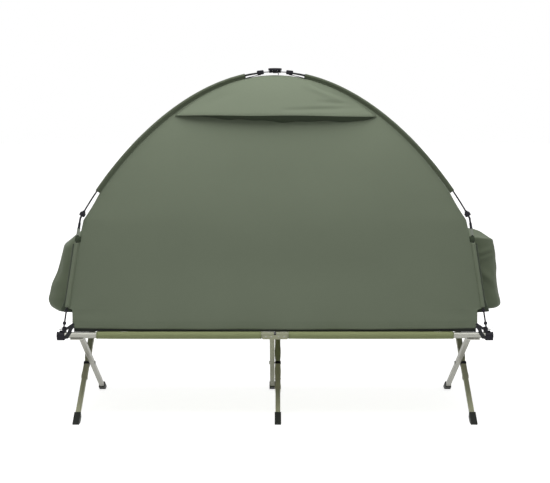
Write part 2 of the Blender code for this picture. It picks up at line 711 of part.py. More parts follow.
def make_pole_quarter(corner, side_x, side_y, body, finishes):
    lower, upper = lower_pole_line(), upper_pole_line()
    lower_total, upper_total = line_length(lower), line_length(upper)
    elbow_length = ELBOW_BLOCK_HALF + ELBOW_NECK_LENGTH + ELBOW_FERRULE_LENGTH
    rod_end = lower_total - elbow_length - SEAT_GAP
    lower_rod = rod_along(part_of_line(lower, 0, rod_end), side_x, side_y, POLE_RADIUS)
    add_piece(f"lower_pole_{corner}", lower_rod, body, finishes["rod"])

    upper_end = upper_total - HUB_RADIUS - HUB_ARM_NECK_LENGTH - HUB_ARM_BLOCK_LENGTH - 2 * SEAT_GAP
    upper_rod = rod_along(
        part_of_line(upper, ELBOW_UPPER_SETBACK, upper_end), side_x, side_y, POLE_RADIUS
    )
    add_piece(f"upper_pole_{corner}", upper_rod, body, finishes["rod"])

    sleeve_line = part_of_line(upper, SLEEVE_START, upper_total - SLEEVE_END)
    add_piece(f"pole_sleeve_{corner}", finned_sleeve(sleeve_line, side_x, side_y), body, finishes["canopy"])

    elbow_start = part_of_line(lower, 0, lower_total - elbow_length)[-1]
    neck = ELBOW_FERRULE_LENGTH + ELBOW_NECK_LENGTH
    profile = [
        (0, ELBOW_FERRULE_RADIUS), (ELBOW_FERRULE_LENGTH, ELBOW_FERRULE_RADIUS),
        (ELBOW_FERRULE_LENGTH, ELBOW_NECK_RADIUS), (neck, ELBOW_NECK_RADIUS),
        (neck, ELBOW_BLOCK_RADIUS), (neck + 2 * ELBOW_BLOCK_HALF, ELBOW_BLOCK_RADIUS),
    ]
    elbow = straight_piece(elbow_start, lower[-1], profile, side_x, side_y)
    add_piece(f"elbow_{corner}", elbow, body, finishes["plastic"])

    pin, top = lower[1], lower[2]
    clip_middle = pin.lerp(top, (CLIP_HEIGHT - pin.y) / (top.y - pin.y))
    along = (top - pin) * (CLIP_LENGTH / 2 / true_length(pin, top))
    clip = sleeve_along(
        [clip_middle - along, clip_middle + along], side_x, side_y,
        POLE_RADIUS + CLIP_CLEARANCE, CLIP_RADIUS,
    )
    add_piece(f"pole_clip_{corner}", clip, body, finishes["plastic"])

    arm_start = HUB_RADIUS + SEAT_GAP
    arm_length = HUB_ARM_NECK_LENGTH + HUB_ARM_BLOCK_LENGTH
    hub_side = part_of_line(upper, 0, upper_total - arm_start)[-1]
    pole_side = part_of_line(upper, 0, upper_total - arm_start - arm_length)[-1]
    profile = [
        (0, HUB_ARM_NECK_RADIUS), (HUB_ARM_NECK_LENGTH, HUB_ARM_NECK_RADIUS),
        (HUB_ARM_NECK_LENGTH, HUB_ARM_BLOCK_RADIUS), (arm_length, HUB_ARM_BLOCK_RADIUS),
    ]
    arm = straight_piece(hub_side, pole_side, profile, side_x, side_y)
    add_piece(f"hub_arm_{corner}", arm, body, finishes["plastic"])


def make_hub(rows, body, plastic):
    """A flat round boss, with a stem down to the loop at the top of the canopy."""
    stem = rows[-1][2] + SEAT_GAP
    base = HUB_HEIGHT - HUB_BELOW
    profile = [
        (stem, HUB_STEM_RADIUS), (base, HUB_STEM_RADIUS), (base, HUB_RADIUS - HUB_EDGE),
        (base + HUB_EDGE, HUB_RADIUS), (base + HUB_THICKNESS - HUB_EDGE, HUB_RADIUS),
        (base + HUB_THICKNESS, HUB_RADIUS - HUB_EDGE),
    ]
    add_piece("hub", turned((0, 0, 0), (0, 0, 1), profile, HUB_SIDES), body, plastic)


# Tent cloth

def make_canopy(rows, body, cloth):
    """Four leaning walls that meet under the poles, as one shell with a doorway at the back."""
    shape = bmesh.new()
    rings = []
    for reach, depth, height in rows[:-1]:
        corners = ((-reach, -depth), (reach, -depth), (reach, depth), (-reach, depth))
        rings.append([shape.verts.new((x, y, height)) for x, y in corners])
    for before, after in zip(rings, rings[1:]):
        for i in range(4):
            j = (i + 1) % 4
            shape.faces.new((before[i], before[j], after[j], after[i]))
    peak = shape.verts.new((0, 0, rows[-1][2]))
    for i in range(4):
        shape.faces.new((rings[-1][i], rings[-1][(i + 1) % 4], peak))
    canopy = add_piece("canopy", shape, body, cloth)
    wall = canopy.modifiers.new("cloth_thickness", "SOLIDIFY")
    wall.thickness = CLOTH
    wall.offset = -1
    wall.use_even_offset = True
    radius = DOOR_ARCH_RADIUS
    outline = [(-DOOR_HALF_WIDTH, DOOR_SILL), (DOOR_HALF_WIDTH, DOOR_SILL)]
    for side, first in ((1, 0), (-1, math.pi / 2)):
        for i in range(DOOR_ARCH_STEPS + 1):
            angle = first + math.pi / 2 * i / DOOR_ARCH_STEPS
            outline.append((
                side * (DOOR_HALF_WIDTH - radius) + radius * math.cos(angle),
                DOOR_HEAD - radius + radius * math.sin(angle),
            ))
    combine(canopy, extruded_along_y(outline, CLOTH, RAIL_SPREAD + CUT_OVERRUN), "DIFFERENCE")


def make_tent_floor(rows, body, cloth):
    reach, depth = rows[0][0], rows[0][1]
    slab = block((-reach, -depth, FLOOR_BOTTOM), (reach, depth, FLOOR_BOTTOM + CLOTH))
    add_piece("tent_floor", slab, body, cloth)


def make_brow(rows, body, cloth):
    """Visor over the front vent, sewn on along its top edge and held out at its lip."""
    rings = []
    for i in range(BROW_STEPS + 1):
        share = 2 * i / BROW_STEPS - 1
        x = share * BROW_HALF_WIDTH
        bulge = math.sqrt(1 - share**2)
        depth = BROW_END_DEPTH + (BROW_DEPTH - BROW_END_DEPTH) * bulge
        lip_z = BROW_LIP_HEIGHT - BROW_DROOP * (1 - bulge)
        inner, outer = [], []
        for row in range(BROW_ROWS + 1):
            down = row / BROW_ROWS
            z = BROW_TOP_HEIGHT + (lip_z - BROW_TOP_HEIGHT) * down
            y = -wall_at(rows, z, 1) - HOOD_GAP - depth * down
            row_x = x * (BROW_TOP_SHARE + (1 - BROW_TOP_SHARE) * down)
            inner.append((row_x, y, z))
            outer.append((row_x, y - CLOTH, z))
        rings.append(inner + outer[::-1])
    add_piece("vent_brow", loft(rings), body, cloth)


def make_hood(name, side_x, shares, rows, body, cloth):
    """Full hood of cloth over an end wall, widest half way across and drawn in at its edges."""
    base, top = CANOPY_CORNER_TOP + CANOPY_CORNER_STEP, CANOPY_LOWER_TOP
    low, high = wall_at(rows, base, 0), wall_at(rows, top, 0)

    def wall(height):
        return low + (high - low) * (height - base) / (top - base) + HOOD_GAP

    rings = []
    for i in range(HOOD_STEPS + 1):
        across = 2 * i / HOOD_STEPS - 1
        full = HOOD_EDGE_SHARE + (1 - HOOD_EDGE_SHARE) * math.sqrt(1 - across**2)
        heights = [HOOD_FOOT + HOOD_HEIGHT * share for share, out in shares]
        outer = [
            (wall(height) + HOOD_BULGE * out * full, height)
            for height, (share, out) in zip(heights, shares)
        ]
        inner = [(wall(height), height) for height in heights[::-1]]
        rings.append([(side_x * x, across * HOOD_HALF_WIDTH, z) for x, z in outer + inner])
    add_piece(name, loft(rings), body, cloth)


def make_door_roll(rows, body, cloth):
    """The door flap, rolled up above the doorway and drawn in where two ties hold it."""
    below = wall_at(rows, ROLL_HEIGHT - ROLL_RADIUS, 1)
    above = wall_at(rows, ROLL_HEIGHT + ROLL_RADIUS, 1)
    lean = math.atan2(below - above, 2 * ROLL_RADIUS)
    y = wall_at(rows, ROLL_HEIGHT, 1) + (ROLL_RADIUS + HOOD_GAP) / math.cos(lean)
    rings = []
    for i in range(ROLL_STEPS + 1):
        x = ROLL_HALF_LENGTH * (2 * i / ROLL_STEPS - 1)
        tie = abs(abs(x) - ROLL_HALF_LENGTH * ROLL_TIE_PLACE_SHARE) / ROLL_TIE_HALF_WIDTH
        waist = ROLL_WAIST_SHARE * max(0, 1 - tie)
        end = ROLL_END_SHARE if i in (0, ROLL_STEPS) else 0
        radius = ROLL_RADIUS * (1 - max(waist, end))
        rings.append(ring_about((x, y, ROLL_HEIGHT), (0, 1, 0), (0, 0, 1), radius, ROLL_SIDES))
    add_piece("door_roll", loft(rings), body, cloth)


def main():
    clear_scene()
    finishes = {
        "metal": finish_material("bare_aluminium", (0.62, 0.62, 0.57), 0.38, 1.0),
        "steel": finish_material("zinc_steel", (0.50, 0.50, 0.50), 0.35, 1.0),
        "rubber": finish_material("black_rubber", (0.03, 0.035, 0.03), 0.75, 0.0),
        "plastic": finish_material("black_plastic", (0.03, 0.03, 0.035), 0.45, 0.0),
        "webbing": finish_material("black_webbing", (0.02, 0.025, 0.02), 0.85, 0.0),
        "rod": finish_material("grey_fibreglass", (0.30, 0.29, 0.31), 0.35, 0.0),
        "canvas": finish_material("olive_canvas", (0.22, 0.26, 0.13), 0.90, 0.0),
        "canopy": finish_material("green_canopy_cloth", (0.11, 0.14, 0.09), 0.75, 0.0),
        "floor": finish_material("dark_floor_cloth", (0.02, 0.03, 0.015), 0.80, 0.0),
    }
    pivot_axis = (0, 0, PIVOT_HEIGHT)
    bodies = {
        "bolts": body_empty("bolts_body", pivot_axis),
        "front": body_empty("front_frame_body", pivot_axis),
        "back": body_empty("back_frame_body", pivot_axis),
        "bed": body_empty("bed_body", (0, 0, BED_TOP)),
        "tent": body_empty("tent_body", (0, 0, FLOOR_BOTTOM)),
    }
    bpy.context.view_layer.update()
    tent = bodies["tent"]
    rows = canopy_rows()
    make_rails(bodies, finishes["metal"])
    make_legs(bodies, finishes["metal"], finishes["rubber"], finishes["steel"])
    make_corner_fittings(bodies, finishes["plastic"])
    make_tie_straps(bodies, finishes["webbing"])
    make_bed_cloth(bodies, finishes["canvas"])
    for depth, side_y in (("front", -1), ("back", 1)):
        for end, side_x in (("left", -1), ("right", 1)):
            make_pole_quarter(f"{depth}_{end}", side_x, side_y, tent, finishes)
    make_hub(rows, tent, finishes["plastic"])
    make_canopy(rows, tent, finishes["canopy"])
    make_tent_floor(rows, tent, finishes["floor"])
    make_brow(rows, tent, finishes["canopy"])
    make_hood("end_hood_left", -1, HOOD_LEFT_SHARES, rows, tent, finishes["canopy"])
    make_hood("end_hood_right", 1, HOOD_RIGHT_SHARES, rows, tent, finishes["canopy"])
    make_door_roll(rows, tent, finishes["canopy"])


main()
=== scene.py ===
# %% [markdown]
# A camp bed on crossed legs carries a small dome tent. This lesson dresses the measured frame of
# that object. The frame comes first, because every cloth and fitting takes its place from it.

# %% Load the measured frame
import math

import bmesh
import bpy
import numpy as np
from mathutils import Matrix, Vector, noise


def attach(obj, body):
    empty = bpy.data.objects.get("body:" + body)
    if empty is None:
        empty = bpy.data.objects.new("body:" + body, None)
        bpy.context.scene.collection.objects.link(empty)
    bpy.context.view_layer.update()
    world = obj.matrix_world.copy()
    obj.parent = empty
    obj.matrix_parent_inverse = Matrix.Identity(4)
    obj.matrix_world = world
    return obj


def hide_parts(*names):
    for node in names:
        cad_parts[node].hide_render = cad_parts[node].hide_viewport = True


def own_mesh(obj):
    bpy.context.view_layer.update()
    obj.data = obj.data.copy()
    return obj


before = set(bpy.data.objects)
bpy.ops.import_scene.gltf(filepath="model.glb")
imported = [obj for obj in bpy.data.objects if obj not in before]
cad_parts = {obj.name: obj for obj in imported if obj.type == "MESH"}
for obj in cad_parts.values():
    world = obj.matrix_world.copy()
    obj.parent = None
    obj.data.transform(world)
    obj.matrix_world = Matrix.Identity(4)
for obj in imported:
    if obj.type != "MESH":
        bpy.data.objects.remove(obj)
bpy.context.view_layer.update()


# %% [markdown]
# The photograph was taken with a long lens from nearly the height of the arch, looking down 7
# degrees. The camera could be set by eye, but it is worked out from the photograph's measures, so
# that the widths, the feet and the top of the arch all line up.

# %% Camera
LENS_MM, SENSOR_MM = 77.32, 36
CAMERA_PLACE, CAMERA_TILT = (0, -5.462, 1.4527), 82.98


def add_object(name, data):
    """A new object at the origin, in the scene."""
    made = bpy.data.objects.new(name, data)
    bpy.context.scene.collection.objects.link(made)
    return made


camera = add_object("camera", bpy.data.cameras.new("camera"))
camera.data.lens = LENS_MM
camera.data.sensor_width = SENSOR_MM
camera.location = CAMERA_PLACE
camera.rotation_euler = (math.radians(CAMERA_TILT), 0, 0)
bpy.context.scene.camera = camera
bpy.context.scene.view_settings.view_transform = "Standard"
print("camera", LENS_MM, "mm at", CAMERA_PLACE)

# %% [markdown]
# The sky, the finishes and the tree that lays stitches are all graphs of nodes. Every socket
# could be set on a line of its own, which is long to read, so one helper makes a node and feeds
# its inputs with plain values or with what other nodes put out.

# %% Helpers for nodes
def feed(tree, node, inputs):
    """Feeds a node's inputs, by name or number, with plain values or other nodes' outputs."""
    for socket, value in inputs.items():
        if isinstance(value, bpy.types.NodeSocket):
            tree.links.new(value, node.inputs[socket])
        else:
            node.inputs[socket].default_value = value
    return node


def add_node(tree, kind, inputs=None, **settings):
    node = tree.nodes.new(kind)
    for name, value in settings.items():
        setattr(node, name, value)
    return feed(tree, node, inputs or {})


def math_node(tree, operation, *values):
    return add_node(tree, "ShaderNodeMath", dict(enumerate(values)), operation=operation).outputs[0]


# %% [markdown]
# The cloth is lit almost wholly from above: the slope near the top is twice as bright as the
# wall. One wide lamp overhead, a weak one in front and a weak sky give that. The sky and floor
# look white only to rays from the camera, from gloss or through glass, so they add no light of
# their own to the cloth.

# %% Light, sky and floor
LAMP_WATTS, FILL_SHARE = 74, 0.14
SKY_STRENGTH = 0.22
FLOOR_HALF, FLOOR_GREY = 30, 0.8
FLOOR_GLOW = 0.84
GLOW_NEAR, GLOW_FAR = 0.9, 2.6
WHITE = (1, 1, 1, 1)


def add_lamp(name, place, aim, size, watts):
    data = bpy.data.lights.new(name, "AREA")
    data.shape = "RECTANGLE"
    data.size, data.size_y = size
    data.energy = watts
    lamp = add_object(name, data)
    lamp.location = place
    lamp.rotation_euler = (Vector(aim) - Vector(place)).to_track_quat("-Z", "Y").to_euler()


add_lamp("overhead", (0, -0.9, 3.6), (0, 0, 0.9), (4.2, 2.6), LAMP_WATTS)
add_lamp("front_fill", (-1.5, -4.5, 2.2), (0, 0, 0.8), (2.4, 2.0), LAMP_WATTS * FILL_SHARE)


def seen_directly(tree):
    """1 for rays from the camera, from gloss or through glass, and 0 for the light on things."""
    path = tree.nodes.new("ShaderNodeLightPath").outputs
    either = math_node(tree, "MAXIMUM", path["Is Camera Ray"], path["Is Glossy Ray"])
    return math_node(tree, "MAXIMUM", either, path["Is Transmission Ray"])


sky = bpy.data.worlds.new("sky")
sky.use_nodes = True
sky_tree = sky.node_tree
sky_tree.nodes.clear()
lit = add_node(sky_tree, "ShaderNodeBackground", {"Strength": SKY_STRENGTH}).outputs[0]
shown = add_node(sky_tree, "ShaderNodeBackground", {"Color": WHITE}).outputs[0]
mixed = add_node(sky_tree, "ShaderNodeMixShader", {0: seen_directly(sky_tree), 1: lit, 2: shown})
add_node(sky_tree, "ShaderNodeOutputWorld", {"Surface": mixed.outputs[0]})
bpy.context.scene.world = sky

floor_finish = bpy.data.materials.new("studio_white")
floor_finish.use_nodes = True
floor_tree = floor_finish.node_tree
floor_place = floor_tree.nodes.new("ShaderNodeTexCoord").outputs["Object"]
far_out = add_node(floor_tree, "ShaderNodeVectorMath", {0: floor_place}, operation="LENGTH")
rise = add_node(
    floor_tree, "ShaderNodeMapRange",
    {"From Min": GLOW_NEAR, "From Max": GLOW_FAR, "To Min": FLOOR_GLOW, "To Max": 1.0,
     "Value": far_out.outputs["Value"]},
    interpolation_type="SMOOTHSTEP",
)
glow = math_node(floor_tree, "MULTIPLY", seen_directly(floor_tree), rise.outputs[0])
feed(floor_tree, floor_tree.nodes["Principled BSDF"], {
    "Base Color": (FLOOR_GREY, FLOOR_GREY, FLOOR_GREY, 1), "Roughness": 0.9,
    "Emission Color": WHITE, "Emission Strength": glow,
})

floor_mesh = bpy.data.meshes.new("studio_floor")
floor_corners = [(x * FLOOR_HALF, y * FLOOR_HALF, 0) for x, y in ((-1, -1), (1, -1), (1, 1), (-1, 1))]
floor_mesh.from_pydata(floor_corners, [], [(0, 1, 2, 3)])
floor_mesh.materials.append(floor_finish)
add_object("studio_floor", floor_mesh)

# %% [markdown]
# Several finishes share an effect: cloth is woven and faded in patches, tubes are drawn with
# fine lines and rubbed by hands, plastic has a fine grain. Each effect could be copied into every
# material, but a node group is built once. It gives colours and masks only, and each material
# keeps its own shader.

# %% Helpers that build a node group
def new_group(title, inputs):
    """A group with named inputs that puts out a colour, a roughness and a height."""
    group = bpy.data.node_groups.new(title, "ShaderNodeTree")
    for name, value in inputs.items():
        kind = "Float" if isinstance(value, float) else {3: "Vector", 4: "Color"}[len(value)]
        socket = group.interface.new_socket(name, in_out="INPUT", socket_type="NodeSocket" + kind)
        socket.default_value = value
    for name, kind in (("Color", "Color"), ("Roughness", "Float"), ("Height", "Float")):
        group.interface.new_socket(name, in_out="OUTPUT", socket_type="NodeSocket" + kind)
    place = group.nodes.new("ShaderNodeTexCoord").outputs["Object"]
    return group, group.nodes.new("NodeGroupInput"), place


def shade_node(tree, colour, share):
    """The colour times a number that is 1 where nothing changes."""
    return add_node(tree, "ShaderNodeVectorMath", {0: colour, "Scale": share}, operation="SCALE").outputs[0]


def blend_node(tree, share, low, high):
    """From one colour to another."""
    inputs = {"Factor": share, "A": low, "B": high}
    return add_node(tree, "ShaderNodeMix", inputs, data_type="RGBA").outputs["Result"]


def noise_node(tree, vector, scale, detail, roughness):
    inputs = {"Scale": scale, "Detail": detail, "Roughness": roughness, "Vector": vector}
    return add_node(tree, "ShaderNodeTexNoise", inputs).outputs["Fac"]


# %% Woven cloth
def make_woven_cloth():
    """Crossed threads on the cloth's own map, in metres, and colour that has faded in patches."""
    group, given, place = new_group(
        "woven_cloth", {"Cloth": (0.2, 0.2, 0.2, 1), "Thread": 0.0012, "Fading": 0.1, "Fuzz": 0.1})
    own_map = add_node(group, "ShaderNodeUVMap", uv_map="weave").outputs[0]
    split = add_node(group, "ShaderNodeSeparateXYZ", {0: own_map})
    turns = math_node(group, "DIVIDE", 2 * math.pi, given.outputs["Thread"])
    warp, weft = [
        math_node(group, "SINE", math_node(group, "MULTIPLY", split.outputs[axis], turns)) for axis in (0, 1)]
    crossed = math_node(group, "MULTIPLY", warp, weft)
    patches = noise_node(group, place, 2.6, 4, 0.55)
    slubs = noise_node(group, place, 160, 2, 0.6)
    fade, fuzz = [
        math_node(group, "MULTIPLY", math_node(group, "SUBTRACT", field, 0.5), given.outputs[name])
        for field, name in ((patches, "Fading"), (slubs, "Fuzz"))]
    thread = math_node(group, "MULTIPLY_ADD", crossed, 0.05, 1)
    share = math_node(group, "ADD", math_node(group, "ADD", fade, fuzz), thread)
    add_node(group, "NodeGroupOutput", {
        "Color": shade_node(group, given.outputs["Cloth"], share),
        "Roughness": math_node(group, "MULTIPLY_ADD", slubs, 0.16, 0.72),
        "Height": math_node(group, "MULTIPLY_ADD", crossed, 0.5, 0.5),
    })
    return group


# %% Rubbed metal
def make_rubbed_metal():
    """Fine drawn lines, cloudy oxide and a few bright rubbed places, from where the point is."""
    group, given, place = new_group(
        "rubbed_metal",
        {"Metal": (0.5, 0.5, 0.5, 1), "Rubbed": (0.7, 0.7, 0.68, 1), "Stretch": (1, 1, 1), "Wear": 0.3,
         "Base roughness": 0.4})
    stretched = {0: place, 1: given.outputs["Stretch"]}
    pulled = add_node(group, "ShaderNodeVectorMath", stretched, operation="MULTIPLY").outputs[0]
    lines = noise_node(group, pulled, 60, 3, 0.6)
    clouds = noise_node(group, place, 22, 4, 0.6)
    spots = math_node(group, "GREATER_THAN", noise_node(group, pulled, 14, 5, 0.7), 0.66)
    worn = math_node(group, "MULTIPLY", spots, given.outputs["Wear"])
    colour = blend_node(group, worn, given.outputs["Metal"], given.outputs["Rubbed"])
    share = math_node(group, "ADD", math_node(group, "MULTIPLY_ADD", lines, 0.16, 0.84),
                      math_node(group, "MULTIPLY", clouds, 0.16))
    rough = math_node(group, "MULTIPLY_ADD", clouds, 0.22, given.outputs["Base roughness"])
    add_node(group, "NodeGroupOutput", {
        "Color": shade_node(group, colour, share),
        "Roughness": math_node(group, "SUBTRACT", rough, 0.11),
        "Height": lines,
    })
    return group


# %% Moulded grain
def make_moulded_grain():
    """The fine pebbled skin of moulded plastic and rubber, dusty where it has been handled."""
    group, given, place = new_group(
        "moulded_grain",
        {"Plastic": (0.02, 0.02, 0.02, 1), "Dust": (0.2, 0.2, 0.19, 1), "Dusty": 0.2, "Grain": 900.0})
    pebbles = add_node(group, "ShaderNodeTexVoronoi", {"Vector": place, "Scale": given.outputs["Grain"]})
    clouds = noise_node(group, place, 55, 4, 0.65)
    dust = math_node(group, "MULTIPLY", clouds, given.outputs["Dusty"])
    add_node(group, "NodeGroupOutput", {
        "Color": blend_node(group, dust, given.outputs["Plastic"], given.outputs["Dust"]),
        "Roughness": math_node(group, "MULTIPLY_ADD", clouds, 0.3, 0.4),
        "Height": pebbles.outputs["Distance"],
    })
    return group


WOVEN, RUBBED, GRAIN = make_woven_cloth(), make_rubbed_metal(), make_moulded_grain()
print("node groups", [g.name for g in (WOVEN, RUBBED, GRAIN)])

# %% [markdown]
# A finish is one material: a group for what changes over the surface, a Bump node for its
# relief, and plain numbers on the shader for what is the same all over, such as sheen.

# %% Finishes from the groups
BUMP_STRENGTH, SHEEN_ROUGHNESS = 0.6, 0.5


def new_finish(name, group, values, relief, sheen=0.0, metallic=0.0, shine=0.5):
    finish = bpy.data.materials.new(name)
    finish.use_nodes = True
    tree = finish.node_tree
    effect = add_node(tree, "ShaderNodeGroup", values, node_tree=group)
    bump = add_node(tree, "ShaderNodeBump", {
        "Strength": BUMP_STRENGTH, "Distance": relief, "Height": effect.outputs["Height"]})
    feed(tree, tree.nodes["Principled BSDF"], {
        "Base Color": effect.outputs["Color"], "Roughness": effect.outputs["Roughness"],
        "Normal": bump.outputs["Normal"], "Sheen Weight": sheen, "Sheen Roughness": SHEEN_ROUGHNESS,
        "Metallic": metallic, "Specular IOR Level": shine,
    })
    main_colour = next(iter(values.values()))
    finish.diffuse_color = main_colour
    return finish


def cloth_finish(name, colour, thread=0.0012, fading=0.10, fuzz=0.10, relief=0.00012, sheen=0.0):
    values = {"Cloth": (*colour, 1), "Thread": thread, "Fading": fading, "Fuzz": fuzz}
    return new_finish(name, WOVEN, values, relief, sheen)


def metal_finish(name, colour, rubbed, stretch, wear, rough, metallic):
    values = {"Metal": (*colour, 1), "Rubbed": (*rubbed, 1), "Stretch": stretch, "Wear": wear,
              "Base roughness": rough}
    return new_finish(name, RUBBED, values, 0.00008, metallic=metallic)


def plastic_finish(name, colour, dust, dusty, grain=900):
    values = {"Plastic": (*colour, 1), "Dust": (*dust, 1), "Dusty": dusty, "Grain": grain}
    return new_finish(name, GRAIN, values, 0.00006, shine=0.22)


# %% [markdown]
# The tent is of thin cloth in several greens, the bed of a coarser canvas and the straps of black
# webbing. Each could have a picture for its texture, but they differ only in colour, size of
# thread and fading, so each is one line of numbers for the same group.

# %% Cloths and webbing
tent_cloth = cloth_finish("tent_cloth", (0.205, 0.245, 0.168), sheen=0.05)
hood_cloth = cloth_finish("hood_cloth", (0.158, 0.194, 0.122), sheen=0.05)
sleeve_cloth = cloth_finish("sleeve_cloth", (0.105, 0.128, 0.080), thread=0.0010)
# The wall's own cloth made a little lighter: painted light on the corner channels.
wall_cloth_painted_lighter = cloth_finish("wall_cloth_painted_lighter", (0.215, 0.255, 0.175))
# Near-black cloth for tapes and tabs. On the hoods' gussets it is painted shade, and on the vent's mesh it is
# partly painted shade.
dark_cloth_and_painted_shade = cloth_finish("dark_cloth_and_painted_shade", (0.035, 0.050, 0.026), thread=0.0016)
# Near black: partly the floor's own colour and partly painted shade for the line under the hem.
floor_cloth = cloth_finish("floor_cloth", (0.020, 0.024, 0.019), thread=0.0016, fading=0.2)
bed_canvas = cloth_finish("bed_canvas", (0.330, 0.372, 0.176), thread=0.0018, relief=0.0003)
webbing = cloth_finish("webbing", (0.016, 0.017, 0.020), thread=0.0022, fuzz=0.3, relief=0.0004)
thread_pale = cloth_finish("sewing_thread", (0.115, 0.140, 0.088), thread=0.0005, relief=0.00005)
print("finishes so far", [finish.name for finish in bpy.data.materials])

# %% [markdown]
# The tubes are metal, some bare and some painted olive, and the fittings are black plastic. The
# drawn lines run along a tube, so each metal stretches its pattern in its own direction.

# %% Metals and plastics
ALONG_RAIL, ALONG_LEG, ALONG_BRACKET, EVEN = (0.04, 1, 1), (1, 0.12, 0.12), (1, 0.2, 0.2), (1, 1, 1)
rail_metal = metal_finish("rail_tube", (0.45, 0.45, 0.40), (0.60, 0.60, 0.56), ALONG_RAIL, 0.35, 0.42, 0.55)
bare_metal = metal_finish(
    "bare_leg_tube", (0.50, 0.495, 0.44), (0.68, 0.68, 0.64), ALONG_LEG, 0.35, 0.42, 0.45)
olive_metal = metal_finish(
    "olive_leg_tube", (0.42, 0.43, 0.29), (0.48, 0.48, 0.38), ALONG_LEG, 0.3, 0.45, 0.1)
light_olive = metal_finish(
    "light_olive_tube", (0.47, 0.48, 0.32), (0.58, 0.58, 0.48), ALONG_LEG, 0.3, 0.45, 0.1)
bracket_metal = metal_finish(
    "olive_bracket", (0.48, 0.475, 0.325), (0.58, 0.57, 0.46), ALONG_BRACKET, 0.3, 0.48, 0.1)
steel = metal_finish("zinc_steel", (0.45, 0.45, 0.44), (0.62, 0.62, 0.60), EVEN, 0.3, 0.35, 0.8)
grey_rod = metal_finish("grey_rod", (0.30, 0.30, 0.31), (0.5, 0.5, 0.5), EVEN, 0.3, 0.4, 0.6)
cover_plastic = plastic_finish("hinge_cover", (0.40, 0.415, 0.270), (0.50, 0.50, 0.44), 0.35)
rod_finish = plastic_finish("pole_rod", (0.022, 0.023, 0.026), (0.12, 0.12, 0.12), 0.25, 1400)
pale_plastic = plastic_finish("pale_plastic", (0.36, 0.40, 0.33), (0.5, 0.5, 0.47), 0.3)
black_plastic = plastic_finish("black_plastic", (0.012, 0.011, 0.017), (0.07, 0.07, 0.08), 0.20)
foot_rubber = plastic_finish("foot_rubber", (0.007, 0.009, 0.006), (0.10, 0.11, 0.10), 0.22, 500)
print("finishes", len(bpy.data.materials))

# %% [markdown]
# Most pieces are a grid of points: a cloth has rows up and columns along, a rod has rings. One
# helper turns a grid into a mesh and gives it a map in metres, so the weave has its true size
# everywhere. Cloth gets its thickness afterwards, inwards from the face that shows.

# %% Grids and sheets
def show_mesh(name, mesh, finish, flat_degrees):
    """An object with one finish, smooth except where it turns by more than an angle."""
    mesh.materials.append(finish)
    mesh.shade_smooth()
    mesh.set_sharp_from_angle(angle=math.radians(flat_degrees))
    return add_object(name, mesh)


def add_grid(name, grid, finish, ring=False, flip=False, caps=False, flat_degrees=40):
    """A mesh from rows x columns of points. A ring's last column joins its first."""
    grid = np.asarray(grid, float)
    rows, columns = grid.shape[:2]
    wide = np.concatenate([grid, grid[:, :1]], axis=1) if ring else grid
    steps_u = np.linalg.norm(np.diff(wide, axis=1), axis=2).max(axis=0)
    steps_v = np.linalg.norm(np.diff(wide, axis=0), axis=2).max(axis=1)
    u, v = [np.concatenate([[0], np.cumsum(steps)]) for steps in (steps_u, steps_v)]
    faces, corners = [], []
    for r in range(rows - 1):
        for c in range(len(u) - 1):
            a, b = r * columns + c, r * columns + (c + 1) % columns
            face = [a, b, b + columns, a + columns]
            corner = [(c, r), (c + 1, r), (c + 1, r + 1), (c, r + 1)]
            faces.append(face[::-1] if flip else face)
            corners += corner[::-1] if flip else corner
    uvs = [(u[c], v[r]) for c, r in corners]
    if caps:
        for first, turn in ((0, not flip), ((rows - 1) * columns, flip)):
            cap = [first + c for c in range(columns)]
            faces.append(cap[::-1] if turn else cap)
            uvs += [(0, 0)] * columns
    mesh = bpy.data.meshes.new(name)
    mesh.from_pydata(grid.reshape(-1, 3).tolist(), [], faces)
    mesh.update()
    made = show_mesh(name, mesh, finish, flat_degrees)
    layer = mesh.uv_layers.new(name="weave")
    layer.data.foreach_set("uv", np.array(uvs, np.float32).ravel())
    return made


def settle(piece):
    """Makes the piece's modifiers part of its mesh."""
    ready = piece.evaluated_get(bpy.context.evaluated_depsgraph_get())
    mesh = bpy.data.meshes.new_from_object(ready)
    piece.modifiers.clear()
    piece.data = mesh
    return piece


def thicken(piece, thickness, offset=-1):
    wall = piece.modifiers.new("thickness", "SOLIDIFY")
    wall.thickness = thickness
    wall.offset = offset
    return settle(piece)


# %% [markdown]
# Rods, webbing and sleeves keep one section along a line. A curve with a bevel could make them,
# but a flat section is hard to keep from twisting there, so the points of the section are carried
# along the path here. Round fittings are turned from a profile in the same way.

# %% Sections carried along a path
def carry(path, section, up):
    """Rings of a section of (side, up) offsets carried along a path."""
    path = np.asarray(path, float)
    up = np.broadcast_to(np.asarray(up, float), path.shape)
    along = np.gradient(path, axis=0)
    along /= np.linalg.norm(along, axis=1, keepdims=True)
    side = np.cross(along, up)
    side /= np.linalg.norm(side, axis=1, keepdims=True)
    upward = np.cross(side, along)
    section = np.asarray(section, float)
    if section.ndim == 2:
        section = np.broadcast_to(section, (len(path), *section.shape))
    return path[:, None] + section[..., 0:1] * side[:, None] + section[..., 1:2] * upward[:, None]


def rod(name, path, radius, finish, up=(0, 0, 1), sides=16):
    angles = 2 * np.pi * np.arange(sides) / sides
    circle = np.stack([radius * np.cos(angles), radius * np.sin(angles)], axis=1)
    return add_grid(name, carry(path, circle, up), finish, ring=True, caps=True)


def square_to(direction):
    """A direction with two more, square to it and to each other."""
    axis = Vector(direction).normalized()
    side = axis.orthogonal().normalized()
    return axis, side, axis.cross(side)


